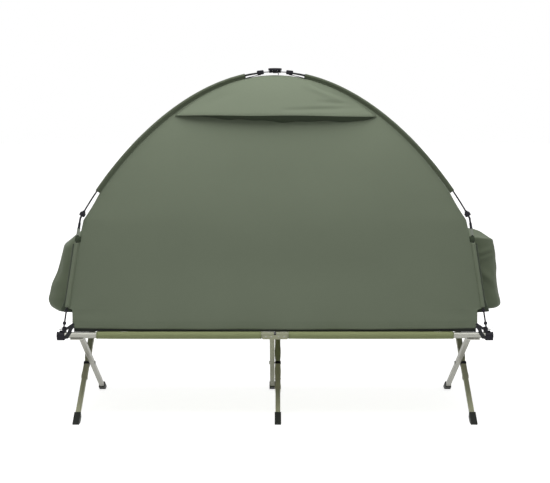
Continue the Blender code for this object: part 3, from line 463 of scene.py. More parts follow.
def turned(name, start, direction, profile, finish, sides=24):
    """A round piece from (distance, radius) pairs along a direction."""
    axis, side, other = square_to(direction)
    rings = []
    for distance, radius in profile:
        centre = Vector(start) + axis * distance
        rings.append([centre + (side * math.cos(a) + other * math.sin(a)) * radius
                      for a in 2 * np.pi * np.arange(sides) / sides])
    return add_grid(name, rings, finish, ring=True, caps=True, flat_degrees=30)


# %% [markdown]
# A moulded block has rounded edges, which a cube with a bevel gives. A fitting made of several
# such parts is joined to one object, because on the real tent it is one thing.

# %% Moulded blocks, and pieces made of several parts
def soft_block(name, centre, axes, size, bevel, finish):
    """A moulded block with rounded edges, on its own three directions."""
    shape = bmesh.new()
    bmesh.ops.create_cube(shape, size=1)
    turn = Matrix([[Vector(a).normalized()[i] for a in axes] for i in range(3)]).to_4x4()
    placed = Matrix.Translation(centre) @ turn @ Matrix.Diagonal((*size, 1))
    bmesh.ops.transform(shape, matrix=placed, verts=shape.verts)
    bmesh.ops.bevel(shape, geom=list(shape.edges), offset=bevel, segments=3, affect="EDGES", profile=0.5)
    bmesh.ops.recalc_face_normals(shape, faces=shape.faces)
    mesh = bpy.data.meshes.new(name)
    shape.to_mesh(mesh)
    shape.free()
    return show_mesh(name, mesh, finish, 35)


def joined(name, parts):
    """One object from several, each already whole."""
    shape = bmesh.new()
    finishes = []
    for part in parts:
        start = len(shape.faces)
        shape.from_mesh(part.data)
        shape.faces.ensure_lookup_table()
        for face in shape.faces[start:]:
            used = part.data.materials[face.material_index]
            if used not in finishes:
                finishes.append(used)
            face.material_index = finishes.index(used)
        bpy.data.objects.remove(part)
    mesh = bpy.data.meshes.new(name)
    shape.to_mesh(mesh)
    shape.free()
    for finish in finishes:
        mesh.materials.append(finish)
    return add_object(name, mesh)


# %% [markdown]
# When the legs fold, both rails come in to 17 percent of their spread. The tent stays on the rails
# all the while, so its cloth and poles would flatten across the bed by the same share, and the bed's
# sheet and the tent's floor, which fit between the rails, would flatten a little more. The shares are
# listed here but not applied. Each tent and bed piece only gets a mesh of its own.

# %% How pieces ride, and the shares they would fold by
FOLDED_SHARE = {"tent": 0.17, "bed": 0.12}


def settle_on(piece, body, replaced=(), folds=True):
    """Gives a finished piece its body, hides the nodes it replaces and, on the tent and bed, a mesh of its
    own.
    """
    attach(piece, body)
    if replaced:
        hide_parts(*replaced)
    if folds and body in FOLDED_SHARE:
        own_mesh(piece)
    return piece


def add_cloth(name, grid, finish, thickness, replaced=(),
              body="tent", offset=-1, flip=False):
    """A finished sheet from its grid of points."""
    piece = thicken(add_grid(name, grid, finish, flip=flip), thickness, offset)
    settle_on(piece, body, replaced)
    return piece


# %% [markdown]
# The tent hangs on four poles. Each leaves a cup at a corner, leans in a little to an elbow and
# then bends in one arc to the hub. All the cloth is placed from this one line, which is written in
# the pole's own upright plane, as (x, z), and then turned to each corner.

# %% The line of a pole
PIN_TOP = np.array((0.934, 0.4396))
ELBOW = np.array((0.856, 0.920))
HUB_TOP = np.array((0.0, 1.5614))
PULLS = (ELBOW, np.array((0.699, 1.206)), np.array((0.375, 1.5614)), HUB_TOP)
SLOPE = 0.320 / 0.934
DIAGONAL = math.sqrt(1 + SLOPE**2)
SLEEVE_START, SLEEVE_END = 0.139, 0.125
NEXT_TO = 0.002


def arc_at(t):
    """Places on the cubic curve that PULLS gives."""
    t = np.asarray(t, float)[:, None]
    start, pull_a, pull_b, end = PULLS
    return (1 - t) ** 3 * start + 3 * t * (1 - t) ** 2 * pull_a + 3 * t**2 * (1 - t) * pull_b + t**3 * end


ARC = arc_at(np.linspace(0, 1, 241))
ARC_STEPS = np.linalg.norm(np.diff(ARC * (DIAGONAL, 1), axis=0), axis=1)
ARC_DISTANCE = np.concatenate([[0], np.cumsum(ARC_STEPS)])
ARC_LENGTH = ARC_DISTANCE[-1]


def arc_place(distance):
    return np.stack([np.interp(distance, ARC_DISTANCE, ARC[:, i]) for i in (0, 1)], axis=-1)


def on_arc(distance):
    """Place and inward direction on the arc, by the distance from the elbow."""
    distance = np.asarray(distance)
    ahead, behind = [arc_place(np.clip(distance + step, 0, ARC_LENGTH)) for step in (NEXT_TO, -NEXT_TO)]
    along = (ahead - behind) * (DIAGONAL, 1)
    along /= np.linalg.norm(along, axis=-1, keepdims=True)
    return arc_place(distance), np.stack([-along[..., 1] / DIAGONAL, along[..., 0]], axis=-1)


def lower_at(height):
    """A place on the straight lower pole."""
    height = np.asarray(height, float)
    share = (height - PIN_TOP[1]) / (ELBOW[1] - PIN_TOP[1])
    return np.stack([PIN_TOP[0] + (ELBOW[0] - PIN_TOP[0]) * share, height], axis=-1)


print("arc length", round(float(ARC_LENGTH), 4))

# %% [markdown]
# Almost everything on the tent comes four times, once at each corner. Each could be mirrored from
# the first, but a mirror turns a mesh inside out, so its points are mirrored before they become a
# mesh. A corner knows its names, its signs and how a place in the pole's plane lies in space.

# %% The four corners
FRAMES = (("front", -1), ("back", 1))
ENDS = (("left", -1), ("right", 1))


class Corner:
    def __init__(self, frame_name, side_y, end_name, side_x):
        self.name, self.body = f"{frame_name}_{end_name}", f"{frame_name}_frame"
        self.side_x, self.side_y = side_x, side_y
        self.flip = side_x * side_y > 0
        self.across = np.cross((side_x, side_y * SLOPE, 0), (0, 0, 1))

    def at(self, points):
        """Points given for the right end of the back, brought to this corner."""
        return np.array(points, float) * (self.side_x, self.side_y, 1)

    def in_space(self, places):
        """Places in the pole's plane, as points."""
        places = np.asarray(places, float)
        return self.at(np.stack([places[..., 0], SLOPE * places[..., 0], places[..., 1]], axis=-1))


CORNERS = [Corner(*long_side, *end) for long_side in FRAMES for end in ENDS]
print("corners", [corner.name for corner in CORNERS])

# %% [markdown]
# The canopy is one sheet stretched under the poles: two long walls and two end walls that meet in
# corner seams. Cloth held at its edges hollows a little between them, so each wall bows inwards.
# It could be a simulation, but a sheet this tight keeps the shape of its rule, so rows of points
# are laid out by height, with small folds where the corners pull.

# %% Rows of the canopy, from hem to hub
HEM_LOW, HEM_CORNER, HEM_MIDDLE = 0.4199, 0.4325, 0.4262
HEM_X, HEM_Y, NOTCH_Y = 0.897, 0.3191, 0.3140
NOTCH_LOW, NOTCH_HIGH = 0.512, 0.521
NOTCH_STEPS = [(0.8985, 0.3140, 0.5150), (0.905, 0.3139, 0.5175), (0.9128, 0.3138, 0.5195)]
STRAIGHT_TOP, STRAIGHT_INSET = 0.770, 0.0054
ELBOW_EDGE = np.array((0.8433, 0.9113))
SLEEVE_INSET, TOP_INSET, TOP_GAP = 0.0145, 0.0140, 0.004


def corner_rows():
    """Half length, half depth and height of the corner seam, from the hem to the hub."""
    low = [(HEM_X, HEM_Y + (NOTCH_Y - HEM_Y) * s, HEM_LOW + (NOTCH_LOW - HEM_LOW) * s)
           for s in np.linspace(0, 1, 12)]
    straight = lower_at(np.linspace(NOTCH_HIGH, STRAIGHT_TOP, 24)) - (STRAIGHT_INSET * DIAGONAL, 0)
    free_end, inward = on_arc(np.array([SLEEVE_START]))
    free_end = (free_end + inward * SLEEVE_INSET)[0]
    free = [straight[-1] + (ELBOW_EDGE - straight[-1]) * s for s in np.linspace(0, 1, 14)[1:]]
    free += [ELBOW_EDGE + (free_end - ELBOW_EDGE) * s - (0.0025 * math.sin(math.pi * s), 0)
             for s in np.linspace(0, 1, 12)[1:]]
    distance = np.linspace(SLEEVE_START, ARC_LENGTH - TOP_GAP, 64)[1:]
    inset = np.interp(distance, [0, ARC_LENGTH - SLEEVE_END, ARC_LENGTH],
                      [SLEEVE_INSET, SLEEVE_INSET, TOP_INSET])
    place, inward = on_arc(distance)
    rest = [(x, x * SLOPE, z) for x, z in np.concatenate([straight, free, place + inward * inset[:, None]])]
    return np.array([*low, *NOTCH_STEPS, *rest])


SEAM = corner_rows()
print("canopy rows", len(SEAM), "top", np.round(SEAM[-1], 4))

# %% [markdown]
# The seam has kinks at the notch and at the elbow. The cloth between the corners could follow
# them, but real cloth cuts across, so away from the seams the walls take the same rule with its
# kinks eased over a few centimetres.

# %% The seam eased between the corners
EASE_FROM, EASE_WIDTH, EASE_STEPS = 0.60, 0.075, 30
LEVELS = np.linspace(0.30, 1.56, 253)


def seam_x(z):
    """Half length of the wall between the corners: it ignores the corner's notch."""
    smooth = SEAM[SEAM[:, 2] > EASE_FROM]
    smooth_z = np.concatenate([[0.40, 0.44], smooth[:, 2]])
    return np.interp(z, smooth_z, np.concatenate([[HEM_X, HEM_X], smooth[:, 0]]))


def seam_y(z):
    return np.interp(z, SEAM[:, 2], SEAM[:, 1])


def eased(rule):
    """The same rule with its kinks eased, as cloth does away from the corner that holds it."""
    reach = np.arange(-EASE_STEPS, EASE_STEPS + 1) * (LEVELS[1] - LEVELS[0])
    weights = np.exp(-((reach / EASE_WIDTH) ** 2))
    values = rule(LEVELS)
    before = values[0] + (values[1] - values[0]) * np.arange(-EASE_STEPS, 0)
    after = values[-1] + (values[-1] - values[-2]) * np.arange(1, EASE_STEPS + 1)
    return np.convolve(np.concatenate([before, values, after]), weights / weights.sum(), mode="valid")


EASED_X, EASED_Y = eased(seam_x), eased(seam_y)
print("eased by at most", round(float(np.abs(EASED_Y - seam_y(LEVELS)).max()), 4), "m")

# %% [markdown]
# A long wall's own shape is a rule for its depth at any place, so that the brow, the door and
# every seam can be laid on the same cloth. The folds are small sums of smooth noise and waves.

# %% The walls as rules
FRONT_SEED, BACK_SEED, LEFT_SEED, RIGHT_SEED = 3.1, 17.4, 29.2, 41.8
FRONT_HOLLOW, BACK_HOLLOW, END_HOLLOW = 0.020, 0.010, 0.007
WAVE_DEPTH, CRUMPLE_DEPTH, PULL_DEPTH, RIPPLE_DEPTH, MOST_PROUD = 0.0026, 0.0009, 0.0030, 0.0022, 0.002
PULL_HEIGHT, PULL_REACH, HEM_HEIGHT, RIPPLE_REACH = 0.500, 0.17, 0.425, 0.06


def held(z, share, exact, eased_values):
    """The exact rule near the corner seams and the eased one between them."""
    near = np.abs(share) ** 3 * np.ones_like(z)
    near = near + (1 - near) * np.clip((np.asarray(z) - 1.38) / 0.10, 0, 1)
    return exact(z) * near + np.interp(z, LEVELS, eased_values) * (1 - near)


def soft_noise(a, b, scale, seed):
    """Smooth noise of two coordinates, from -1 to 1."""
    a, b = np.broadcast_arrays(np.asarray(a, float), np.asarray(b, float))
    flat = [noise.noise(Vector((p * scale, q * scale, seed))) for p, q in zip(a.ravel(), b.ravel())]
    return np.array(flat).reshape(a.shape)


def bow_share(z):
    """How far a wall may hollow: none at the hem, all in the middle, little near the hub."""
    rise = np.clip((z - 0.43) / 0.30, 0, 1)
    fall = np.clip((1.535 - z) / 0.45, 0, 1)
    return (rise * rise * (3 - 2 * rise)) * fall**0.8


def folds(across, z, half, seed):
    """Depth of the small folds: slow waves, pulls at the lower corners, ripples at the hem."""
    across, z = np.broadcast_arrays(np.asarray(across, float), np.asarray(z, float))
    edge = 1 - np.clip(np.abs(across) / np.maximum(half, 0.02), 0, 1) ** 6
    total = WAVE_DEPTH * soft_noise(across, z, 2.3, seed)
    total = total + CRUMPLE_DEPTH * soft_noise(across, z, 8.0, seed + 3)
    for side in (-1, 1):
        run, rise = across - side * half, z - PULL_HEIGHT
        far = np.hypot(run, rise)
        fan = np.sin(9 * np.arctan2(rise + 0.02, -side * run + 0.02) + seed)
        total = total + PULL_DEPTH * np.exp(-far / PULL_REACH) * (1 - np.exp(-((far / 0.04) ** 2))) * fan
    ripple = np.sin(across * 19 + 2.5 * soft_noise(across, 0 * z, 1.7, seed + 5))
    total = total + RIPPLE_DEPTH * np.exp(-(z - HEM_HEIGHT) / RIPPLE_REACH) * ripple
    return total * edge


def wall_depth(across, z, seed, half_of, exact, eased_values, hollow, fold_share, fold_in, fold_top):
    """How far a wall is from the middle: its seam's rule, less its hollow, and then its folds."""
    half = np.maximum(half_of(z), 0.004)
    share = np.clip(across / half, -1, 1)
    flat = held(z, share, exact, eased_values) - hollow * bow_share(z) * (1 - share**2)
    fold = np.minimum(folds(across, z, half, seed) * fold_share - fold_in, MOST_PROUD)
    return flat + fold * np.clip((fold_top - z) / 0.1, 0, 1)


def long_wall(x, z, seed):
    """Distance of a long wall from the middle of the bed."""
    hollow = FRONT_HOLLOW if seed == FRONT_SEED else BACK_HOLLOW
    return wall_depth(x, z, seed, seam_x, seam_y, EASED_Y, hollow, 1.0, 0.002, 1.52)


def end_wall(y, z, seed):
    """Distance of an end wall from the middle of the bed."""
    return wall_depth(y, z, seed, seam_y, seam_x, EASED_X, END_HOLLOW, 0.8, 0.0015, 1.50)


print("front wall at its middle", round(float(long_wall(0.0, 0.9, FRONT_SEED)), 4))

# %% [markdown]
# The sheet could be four walls sewn together, but one ring of points for each row leaves no gap at
# the seams. One face closes it under the hub, and it gets its thickness afterwards.

# %% The canopy sheet
LONG_COLUMNS, END_COLUMNS = 104, 38
NEAR_SEAM = 0.030


def near_seam(share, half):
    """1 at the corner seams, and 0 a few centimetres away."""
    return np.exp(-((1 - np.abs(share)) * half / NEAR_SEAM) ** 2)


def canopy_ring(corner_x, corner_y, z):
    """One row of the canopy: front wall, right end, back wall, left end."""
    rise = np.clip((NOTCH_LOW - z) / (NOTCH_LOW - HEM_LOW), 0, 1)
    share = np.linspace(-1, 1, LONG_COLUMNS + 1)
    out = corner_x - seam_x(z)
    along = share * (seam_x(z) + out * near_seam(share, max(corner_x, 0.02)))
    hem = HEM_MIDDLE + (HEM_CORNER - HEM_MIDDLE) * np.abs(share) ** 3
    level = np.where(z < NOTCH_LOW, z + (hem - HEM_LOW) * rise, z)
    front = np.stack([along, -long_wall(along, level, FRONT_SEED), level], axis=1)
    back = np.stack([along, long_wall(along, level, BACK_SEED), level], axis=1)[::-1]
    share = np.linspace(-1, 1, END_COLUMNS + 1)
    across = share * corner_y
    near = near_seam(share, max(corner_y, 0.01))
    level = np.full(END_COLUMNS + 1, z + (HEM_CORNER - HEM_LOW) * rise if z < NOTCH_LOW else z)
    right, left = [np.stack([side_x * (end_wall(across, level, seed) + out * near), across, level], axis=1)
                   for side_x, seed in ((1, RIGHT_SEED), (-1, LEFT_SEED))]
    return np.concatenate([front[:-1], right[:-1], back[:-1], left[::-1][:-1]])


canopy_points = np.array([canopy_ring(*row) for row in SEAM])
canopy = add_grid("canopy_cloth", canopy_points, tent_cloth, ring=True, flat_degrees=60)
shape = bmesh.new()
shape.from_mesh(canopy.data)
shape.verts.ensure_lookup_table()
shape.faces.new(shape.verts[-canopy_points.shape[1]:])
shape.to_mesh(canopy.data)
shape.free()
thicken(canopy, 0.0011)
print("canopy", len(canopy.data.polygons), "faces")

# %% [markdown]
# The doorway is in the back wall. It could be left out of the grid, but its arch wouldn't follow
# the rows, so a cutter with the arch's outline takes it out of the finished sheet.

# %% The doorway
DOOR_HALF, DOOR_SILL, DOOR_HEAD, DOOR_ARCH, DOOR_CORNER = 0.420, 0.470, 1.100, 0.220, 0.04
CUTTER_DEPTHS = (0.16, 0.42)


def door_outline(grow=0.0, arch_steps=14, corner_steps=6):
    """Points (x, z) round the doorway, from the left of its sill, clockwise seen from the back."""
    half, low, high, arch = DOOR_HALF + grow, DOOR_SILL - grow, DOOR_HEAD + grow, DOOR_ARCH + grow
    low_turn = (low + DOOR_CORNER, DOOR_CORNER, corner_steps)
    arch_turn = (high - arch, arch, arch_steps)
    turns = [(-half + DOOR_CORNER, math.pi, low_turn), (half - DOOR_CORNER, 1.5 * math.pi, low_turn),
             (half - arch, 0, arch_turn), (-half + arch, 0.5 * math.pi, arch_turn)]
    points = []
    for centre_x, first, (centre_z, radius, count) in turns:
        for i in range(count + 1):
            a = first + 0.5 * math.pi * i / count
            points.append((centre_x + radius * math.cos(a), centre_z + radius * math.sin(a)))
    return np.array(points)


cutter_rings = [[(x, y, z) for x, z in door_outline()] for y in CUTTER_DEPTHS]
cutter = add_grid("door_cutter", cutter_rings, tent_cloth, ring=True, caps=True, flip=True)
cut = canopy.modifiers.new("doorway", "BOOLEAN")
cut.operation = "DIFFERENCE"
cut.solver = "EXACT"
cut.object = cutter
settle(canopy)
bpy.data.objects.remove(cutter)
print("canopy with its doorway", len(canopy.data.polygons), "faces")
settle_on(canopy, "tent", ["canopy"])

# %% [markdown]
# The tent has a sewn-in floor of coated cloth, near black. It lies on the bed, dips with it, and its
# edge turns up inside the walls as the dark line under the hem. That darkness is partly the floor's
# own colour and partly painted shade under the hem. A box with walls could stand for it, but
# folding up the edges of a flat cloth gives the round fold that shows.

# %% The floor tray
FLOOR_X, FLOOR_Y, FLOOR_Z, TURN_UP, FIRST_STEP = 0.8915, 0.3105, 0.4189, 0.026, 0.006
FLOOR_DIP, FLOOR_LEAN, FLOOR_CRUMPLE = 0.0120, 0.0035, 0.0016
CORNER_DROP, DROP_X, DROP_Y = 0.0042, 0.788, 0.28


def floor_point(a, b):
    """Where a point of the flat floor cloth comes to lie: its edges fold up."""
    over_x, over_y = max(abs(a) - FLOOR_X, 0), max(abs(b) - FLOOR_Y, 0)
    over = max(over_x, over_y)
    x, y = max(-FLOOR_X, min(FLOOR_X, a)), max(-FLOOR_Y, min(FLOOR_Y, b))
    dip = FLOOR_DIP * (1 - (y / FLOOR_Y) ** 2) ** 3 * min(1, (FLOOR_X - abs(x)) / 0.15)
    soft = FLOOR_CRUMPLE * noise.noise(Vector((x * 9, y * 9, 5))) * min(1, (FLOOR_Y - abs(y)) / 0.03)
    drop = CORNER_DROP * np.clip((abs(x) - DROP_X) / 0.010, 0, 1)
    drop = drop * np.clip((abs(y) - DROP_Y) / 0.02, 0, 1)
    up = over - drop * (1 - over / TURN_UP)
    lean = FLOOR_LEAN * over / TURN_UP
    return (x - math.copysign(lean, x) * (over_x > 0), y - math.copysign(lean, y) * (over_y > 0),
            FLOOR_Z - dip + soft + up)


def floor_steps(half, count):
    """Places over the flat part of the floor, and five on each turned-up edge."""
    return np.concatenate([-half - np.linspace(TURN_UP, FIRST_STEP, 5), np.linspace(-half, half, count),
                           half + np.linspace(FIRST_STEP, TURN_UP, 5)])


floor_points = [[floor_point(a, b) for a in floor_steps(FLOOR_X, 90)] for b in floor_steps(FLOOR_Y, 36)]
add_cloth("floor_tray", floor_points, floor_cloth, 0.0009, replaced=["tent_floor"])

# %% [markdown]
# The long curved part of each pole runs in a sleeve of darker tape, folded round it and sewn flat
# to the corner seam. From the front it is the dark band along the arch. Below the elbow, a channel
# of the wall's own cloth holds the straight pole. Its copy of that cloth is a little lighter, which
# is painted light. Each could be a plain tube, but the two flat edges show, so a strip folded to a U
# is carried along the pole's line.

# %% Pole sleeves and corner channels
WRAP_ANGLE, STRIP_GAP = 0.78 * math.pi, 0.0007
CHANNEL_IN, CHANNEL_ENDS = (-1 / DIAGONAL**2, -0.13), (0.527, 0.812)
SLEEVE_FOLD, CHANNEL_FOLD = (0.0066, 0.0155), (0.0080, 0.0125)  # radius, reach of the flat edges
SLEEVE_PUCKER, CHANNEL_PUCKER = 0.05, 0.06


def folded_section(radius, reach):
    """A strip round a pole, its two edges flat together at a distance inwards from it."""
    wrap = [(math.sin(a) * radius, -math.cos(a) * radius) for a in np.linspace(-WRAP_ANGLE, WRAP_ANGLE, 15)]
    end_u, end_v = wrap[-1]
    flat = [(STRIP_GAP + (end_u - STRIP_GAP) * (1 - s) ** 2, end_v + (reach - end_v) * s)
            for s in np.linspace(0, 1, 6)[1:]]
    return np.array([(-u, v) for u, v in flat][::-1] + wrap + flat)


def fold_round_pole(name, corner, places, inward, fold, seed, pucker, finish, cut, replaced=()):
    """A folded strip along a pole, let out a little here and there where the thread puckers it."""
    radius, reach = fold
    sections = []
    for i in range(len(places)):
        from_end = min(i, len(places) - 1 - i)
        loose = 1 + pucker * noise.noise(Vector((i * 0.35, seed, 0))) + 0.06 * math.exp(-from_end / 1.2)
        sections.append(folded_section(radius * loose, reach))
    rings = carry(corner.in_space(places), sections, corner.in_space(inward))
    add_cloth(name, rings, finish, 0.0008, replaced=replaced, offset=1, flip=corner.flip)


for corner in CORNERS:
    distance = np.linspace(SLEEVE_START, ARC_LENGTH - SLEEVE_END - 0.022, 80)
    sleeve_length = float(distance[-1] - distance[0]) * 1.02
    fold_round_pole(f"arch_sleeve_{corner.name}", corner, *on_arc(distance), SLEEVE_FOLD,
                    corner.side_x * 3 + corner.side_y, SLEEVE_PUCKER, sleeve_cloth,
                    (0.070, sleeve_length), [f"pole_sleeve_{corner.name}"])
    places = lower_at(np.linspace(*CHANNEL_ENDS, 35))
    fold_round_pole(f"corner_channel_{corner.name}", corner, places,
                    np.tile(CHANNEL_IN, (len(places), 1)), CHANNEL_FOLD,
                    corner.side_x * 5 + corner.side_y, CHANNEL_PUCKER, wall_cloth_painted_lighter, (0.078, 0.285))

# %% [markdown]
# The brow is a second, pitched panel that shades a vent in the front wall. Its top edge is sewn
# near the hub, its lip stands off the wall, and a mesh closes it underneath, near black with
# painted shade. It could be draped by simulation, but its creases are few and in known places, so
# each is a ridge or groove along a line, added to the panel's distance from the wall.

# %% The brow
BROW_TOP, BROW_LIP, BROW_STAND, BROW_GAP = 1.5290, 1.3675, 0.050, 0.0014
LIP_WAVE, BROW_SWELL, BROW_CRUMPLE = 0.0012, 0.006, 0.0022
BROW_ROWS, BROW_COLUMNS = 34, 84
BROW_CREASES = [  # start (x, z), end (x, z), depth, width
    ((0.130, 1.502), (0.290, 1.440), 0.0080, 0.012),
    ((0.170, 1.508), (0.320, 1.448), -0.0140, 0.014),
    ((0.040, 1.390), (0.390, 1.400), -0.0070, 0.009),
    ((0.190, 1.426), (0.350, 1.416), -0.0065, 0.009),
    ((-0.300, 1.420), (-0.180, 1.470), -0.0040, 0.018),
]


def crease_at(place, start, end, depth, width):
    """A ridge, or a groove where depth is negative, along a line that dies out at both ends."""
    place, start, run = np.array(place), np.array(start), np.subtract(end, start)
    share = min(1, max(0, float(np.dot(place - start, run) / np.dot(run, run))))
    off = np.linalg.norm(place - start - run * share)
    return depth * math.exp(-((off / width) ** 2)) * math.sin(math.pi * (0.15 + 0.7 * share))


def brow_half(z):
    """The brow is sewn into the corner seams, so it is as wide as the wall at each height."""
    return float(seam_x(z)) - 0.007 - 0.011 * (BROW_TOP - z) / (BROW_TOP - BROW_LIP)


def brow_point(down, share):
    """A point of the brow, by its share down from the top edge and across from -1 to 1."""
    full = (1 - share**2) ** (1.6 - down)
    lip = BROW_LIP - 0.0025 * share - 0.0030 * share**2 + LIP_WAVE * math.sin(6.3 * share) * full
    z = BROW_TOP + (lip - BROW_TOP) * down
    x = share * brow_half(z)
    crease = sum(crease_at((x, z), *line) for line in BROW_CREASES)
    crease = crease * min(1, 12 * (1 - down)) * (1 - share**8)
    swell = BROW_SWELL * math.sin(math.pi * down) * full
    swell += BROW_CRUMPLE * noise.noise(Vector((x * 4, z * 7, 8))) * full * down
    stand = BROW_STAND * full * down**1.3 + max(swell, 0) + crease
    return (x, -float(long_wall(x, z, FRONT_SEED)) - BROW_GAP - max(0, stand), z)


brow_points = np.array([
    [brow_point(i / (BROW_ROWS - 1), 2 * j / (BROW_COLUMNS - 1) - 1) for j in range(BROW_COLUMNS)]
    for i in range(BROW_ROWS)])
add_cloth("vent_brow_panel", brow_points, tent_cloth, 0.0010,
          ["vent_brow"], flip=True)

# %% [markdown]
# Under the lip a mesh closes the vent, and the lip's own edge is piped. The mesh could have real
# holes, but it shows only as a dark slit, so a plain near-black cloth runs from the lip to the wall.
# Its darkness is partly the mesh's own colour and partly painted shade under the lip.

# %% The vent's mesh and the piping of the lip
SHADE_ROWS, SHADE_GAP, SHADE_STEP = 8, 0.0016, 0.0012
lip_line = brow_points[-1]


def shade_point(back, x, y, z):
    """A point of the mesh, darkened with painted shade, that runs from the lip back to the wall, lower there.
    """
    share = x / lip_line[-1][0]
    full = min(1, max(0, share + 1) / 0.55) ** 1.4 * (1 - min(1, share**2)) ** 0.5
    wave = 0.0040 * math.sin(8.5 * share + 0.6) + 0.0020 * math.sin(21 * share)
    seam_z = z - (0.001 + (0.0250 + 0.0100 * share + wave) * full)
    wall = -float(long_wall(x, seam_z, FRONT_SEED)) - SHADE_GAP
    sag = 0.004 * math.sin(math.pi * back) * full
    return (x * (1 - 0.02 * back), y + SHADE_STEP + (wall - y - SHADE_STEP) * back,
            z - 0.0005 + (seam_z - z) * back - sag)


shade_points = [[shade_point(i / (SHADE_ROWS - 1), *p) for p in lip_line] for i in range(SHADE_ROWS)]
# The mesh's near-black cloth is partly painted shade under the lip.
add_cloth("brow_vent_mesh", shade_points, dark_cloth_and_painted_shade, 0.0007,
          flip=True)
piping = rod("brow_piping", lip_line + (0, -0.0004, 0.0002), 0.0016, tent_cloth, sides=8)
settle_on(piping, "tent")

# %% [markdown]
# Over each end wall hangs a full hood of cloth. Its top and side edges are sewn to the wall, and
# its mouth is open underneath. The left one tapers upwards, the right one is squarer and sags at
# the top. Each is a profile, out against up, that thins out towards its sewn sides.

# %% The end hoods
HOOD_FOOT, HOOD_RISE, HOOD_OUT, HOOD_HALF = 0.451, 0.372, 0.138, 0.235
HOOD_ROWS, HOOD_COLUMNS, HOOD_GAP = 64, 72, 0.0012
STRAIGHT_WALL_X, STRAIGHT_WALL_Z, STRAIGHT_WALL_SLOPE = 0.9157, 0.517, 0.1625
MOUTH_RISE, MOUTH_DIP, HOOD_PLEAT, HOOD_CRUMPLE = 0.046, 0.006, 0.004, 0.007
HOODS = {
    "left": dict(
        seed=LEFT_SEED, roundness=2.0, rounds=2, sag=0.0,
        profile=[(0.013, 0.35), (0.022, 0.56), (0.09, 0.88), (0.18, 1.0), (0.40, 0.955), (0.55, 0.80),
                 (0.75, 0.76), (0.87, 0.72), (0.935, 0.52), (1.0, 0.36), (1.03, 0.06)],
        creases=[((0.20, 0.60), (0.45, 0.20), -0.006, 0.012), ((0.30, 0.85), (0.75, 0.50), 0.003, 0.016)]),
    "right": dict(
        seed=RIGHT_SEED, roundness=3.0, rounds=1, sag=0.014,
        profile=[(0.050, 0.30), (0.056, 0.50), (0.070, 0.72), (0.11, 0.87), (0.15, 0.885), (0.32, 0.85),
                 (0.60, 0.92), (0.88, 0.95), (0.985, 0.93), (0.998, 0.70), (1.015, 0.40), (1.035, 0.06)],
        creases=[((0.98, 0.88), (0.25, 0.74), -0.012, 0.010), ((0.98, 0.80), (0.25, 0.66), 0.011, 0.010),
                 ((0.20, 0.70), (0.95, 0.32), -0.020, 0.012), ((0.28, 0.56), (0.50, 0.18), 0.012, 0.010),
                 ((0.45, 0.26), (0.48, 0.04), -0.022, 0.009)]),
}


def hood_profile(profile, rounds):
    """The profile at each row, evenly spaced along it and eased a little."""
    up, out = np.array(profile).T
    steps = np.concatenate([[0], np.cumsum(np.hypot(np.diff(up) * HOOD_RISE, np.diff(out) * HOOD_OUT))])
    fine = np.linspace(0, steps[-1], HOOD_ROWS)
    lines = [np.interp(fine, steps, up), np.interp(fine, steps, out)]
    for _ in range(rounds):
        for line in lines:
            line[1:-1] = (line[:-2] + 2 * line[1:-1] + line[2:]) / 4
    return lines


def hood_creases(creases, full, rise):
    """Creases on a hood's sides, by how far out and how far up they lie."""
    scale = (HOOD_OUT, HOOD_RISE)
    return sum(crease_at(np.multiply((full, rise), scale), np.multiply(start, scale), np.multiply(end, scale),
                         depth, width) for start, end, depth, width in creases)


def hood_point(i, across, rise, out, hood):
    """A point of a right-hand hood, in row i, by its share across from -1 to 1."""
    left_over, seed = HOOD_ROWS - 1 - i, hood["seed"]
    edge = 1 - abs(across) ** 18
    full = 0.16 * edge + 0.84 * max(0, 1 - abs(across) ** hood["roundness"]) ** (1 / hood["roundness"])
    mouth = MOUTH_RISE * abs(across) ** 2.4 * (1 - i / (HOOD_ROWS - 1)) ** 1.5
    sag = hood["sag"] * (1 - across**2) * min(1, max(0, (rise - 0.86) / 0.12))
    z = HOOD_FOOT + HOOD_RISE * rise + mouth - sag
    y = across * HOOD_HALF * (1 - 0.05 * math.sin(math.pi * i / (HOOD_ROWS - 1)))
    hang = math.sin(math.pi * min(1, i / (HOOD_ROWS * 0.75)))
    wander = 2.2 * noise.noise(Vector((across * 2, rise * 2.5, seed)))
    pleat = HOOD_PLEAT * math.sin(11 * across + wander)
    crumple = HOOD_CRUMPLE * noise.noise(Vector((across * 3.4, rise * 7, seed + 9)))
    body = (pleat * hang + crumple) * (0.3 + 0.7 * abs(across))
    relief = hood_creases(hood["creases"], full, rise) * min(1, full / 0.25)
    relief = relief * edge * min(1, i / 4) * min(1, left_over / 8)
    y += math.copysign(relief * math.sqrt(max(0, 1 - full**2)), across)
    wall = float(end_wall(y, z, seed)) + HOOD_GAP
    straight_wall = STRAIGHT_WALL_X - STRAIGHT_WALL_SLOPE * (z - STRAIGHT_WALL_Z)
    target = straight_wall + HOOD_OUT * out * full + body * full
    sewn = min(1, left_over / 5) ** 0.6
    dip = MOUTH_DIP * math.sin(5 * across + seed) * (1 - i / (HOOD_ROWS - 1)) ** 3
    return (wall + max(0.0, target - wall) * edge * sewn, y, z + dip)


def hood_grid(hood):
    rise, out = hood_profile(hood["profile"], hood["rounds"])
    across = [math.sin(0.5 * math.pi * (2 * j / (HOOD_COLUMNS - 1) - 1)) for j in range(HOOD_COLUMNS)]
    return np.array([[hood_point(i, share, rise[i], out[i], hood) for share in across]
                     for i in range(HOOD_ROWS)])


# %% [markdown]
# A hood's mouth is bound with dark tape, and a strip of near-black cloth fills the corner between
# each hood and the pole beside it. That strip's colour is painted shade, for the shadow in that corner.
# The tape could be cut from the hood, but the first row of the hood's points is already the line that
# it follows, so a thin rod is carried along that.

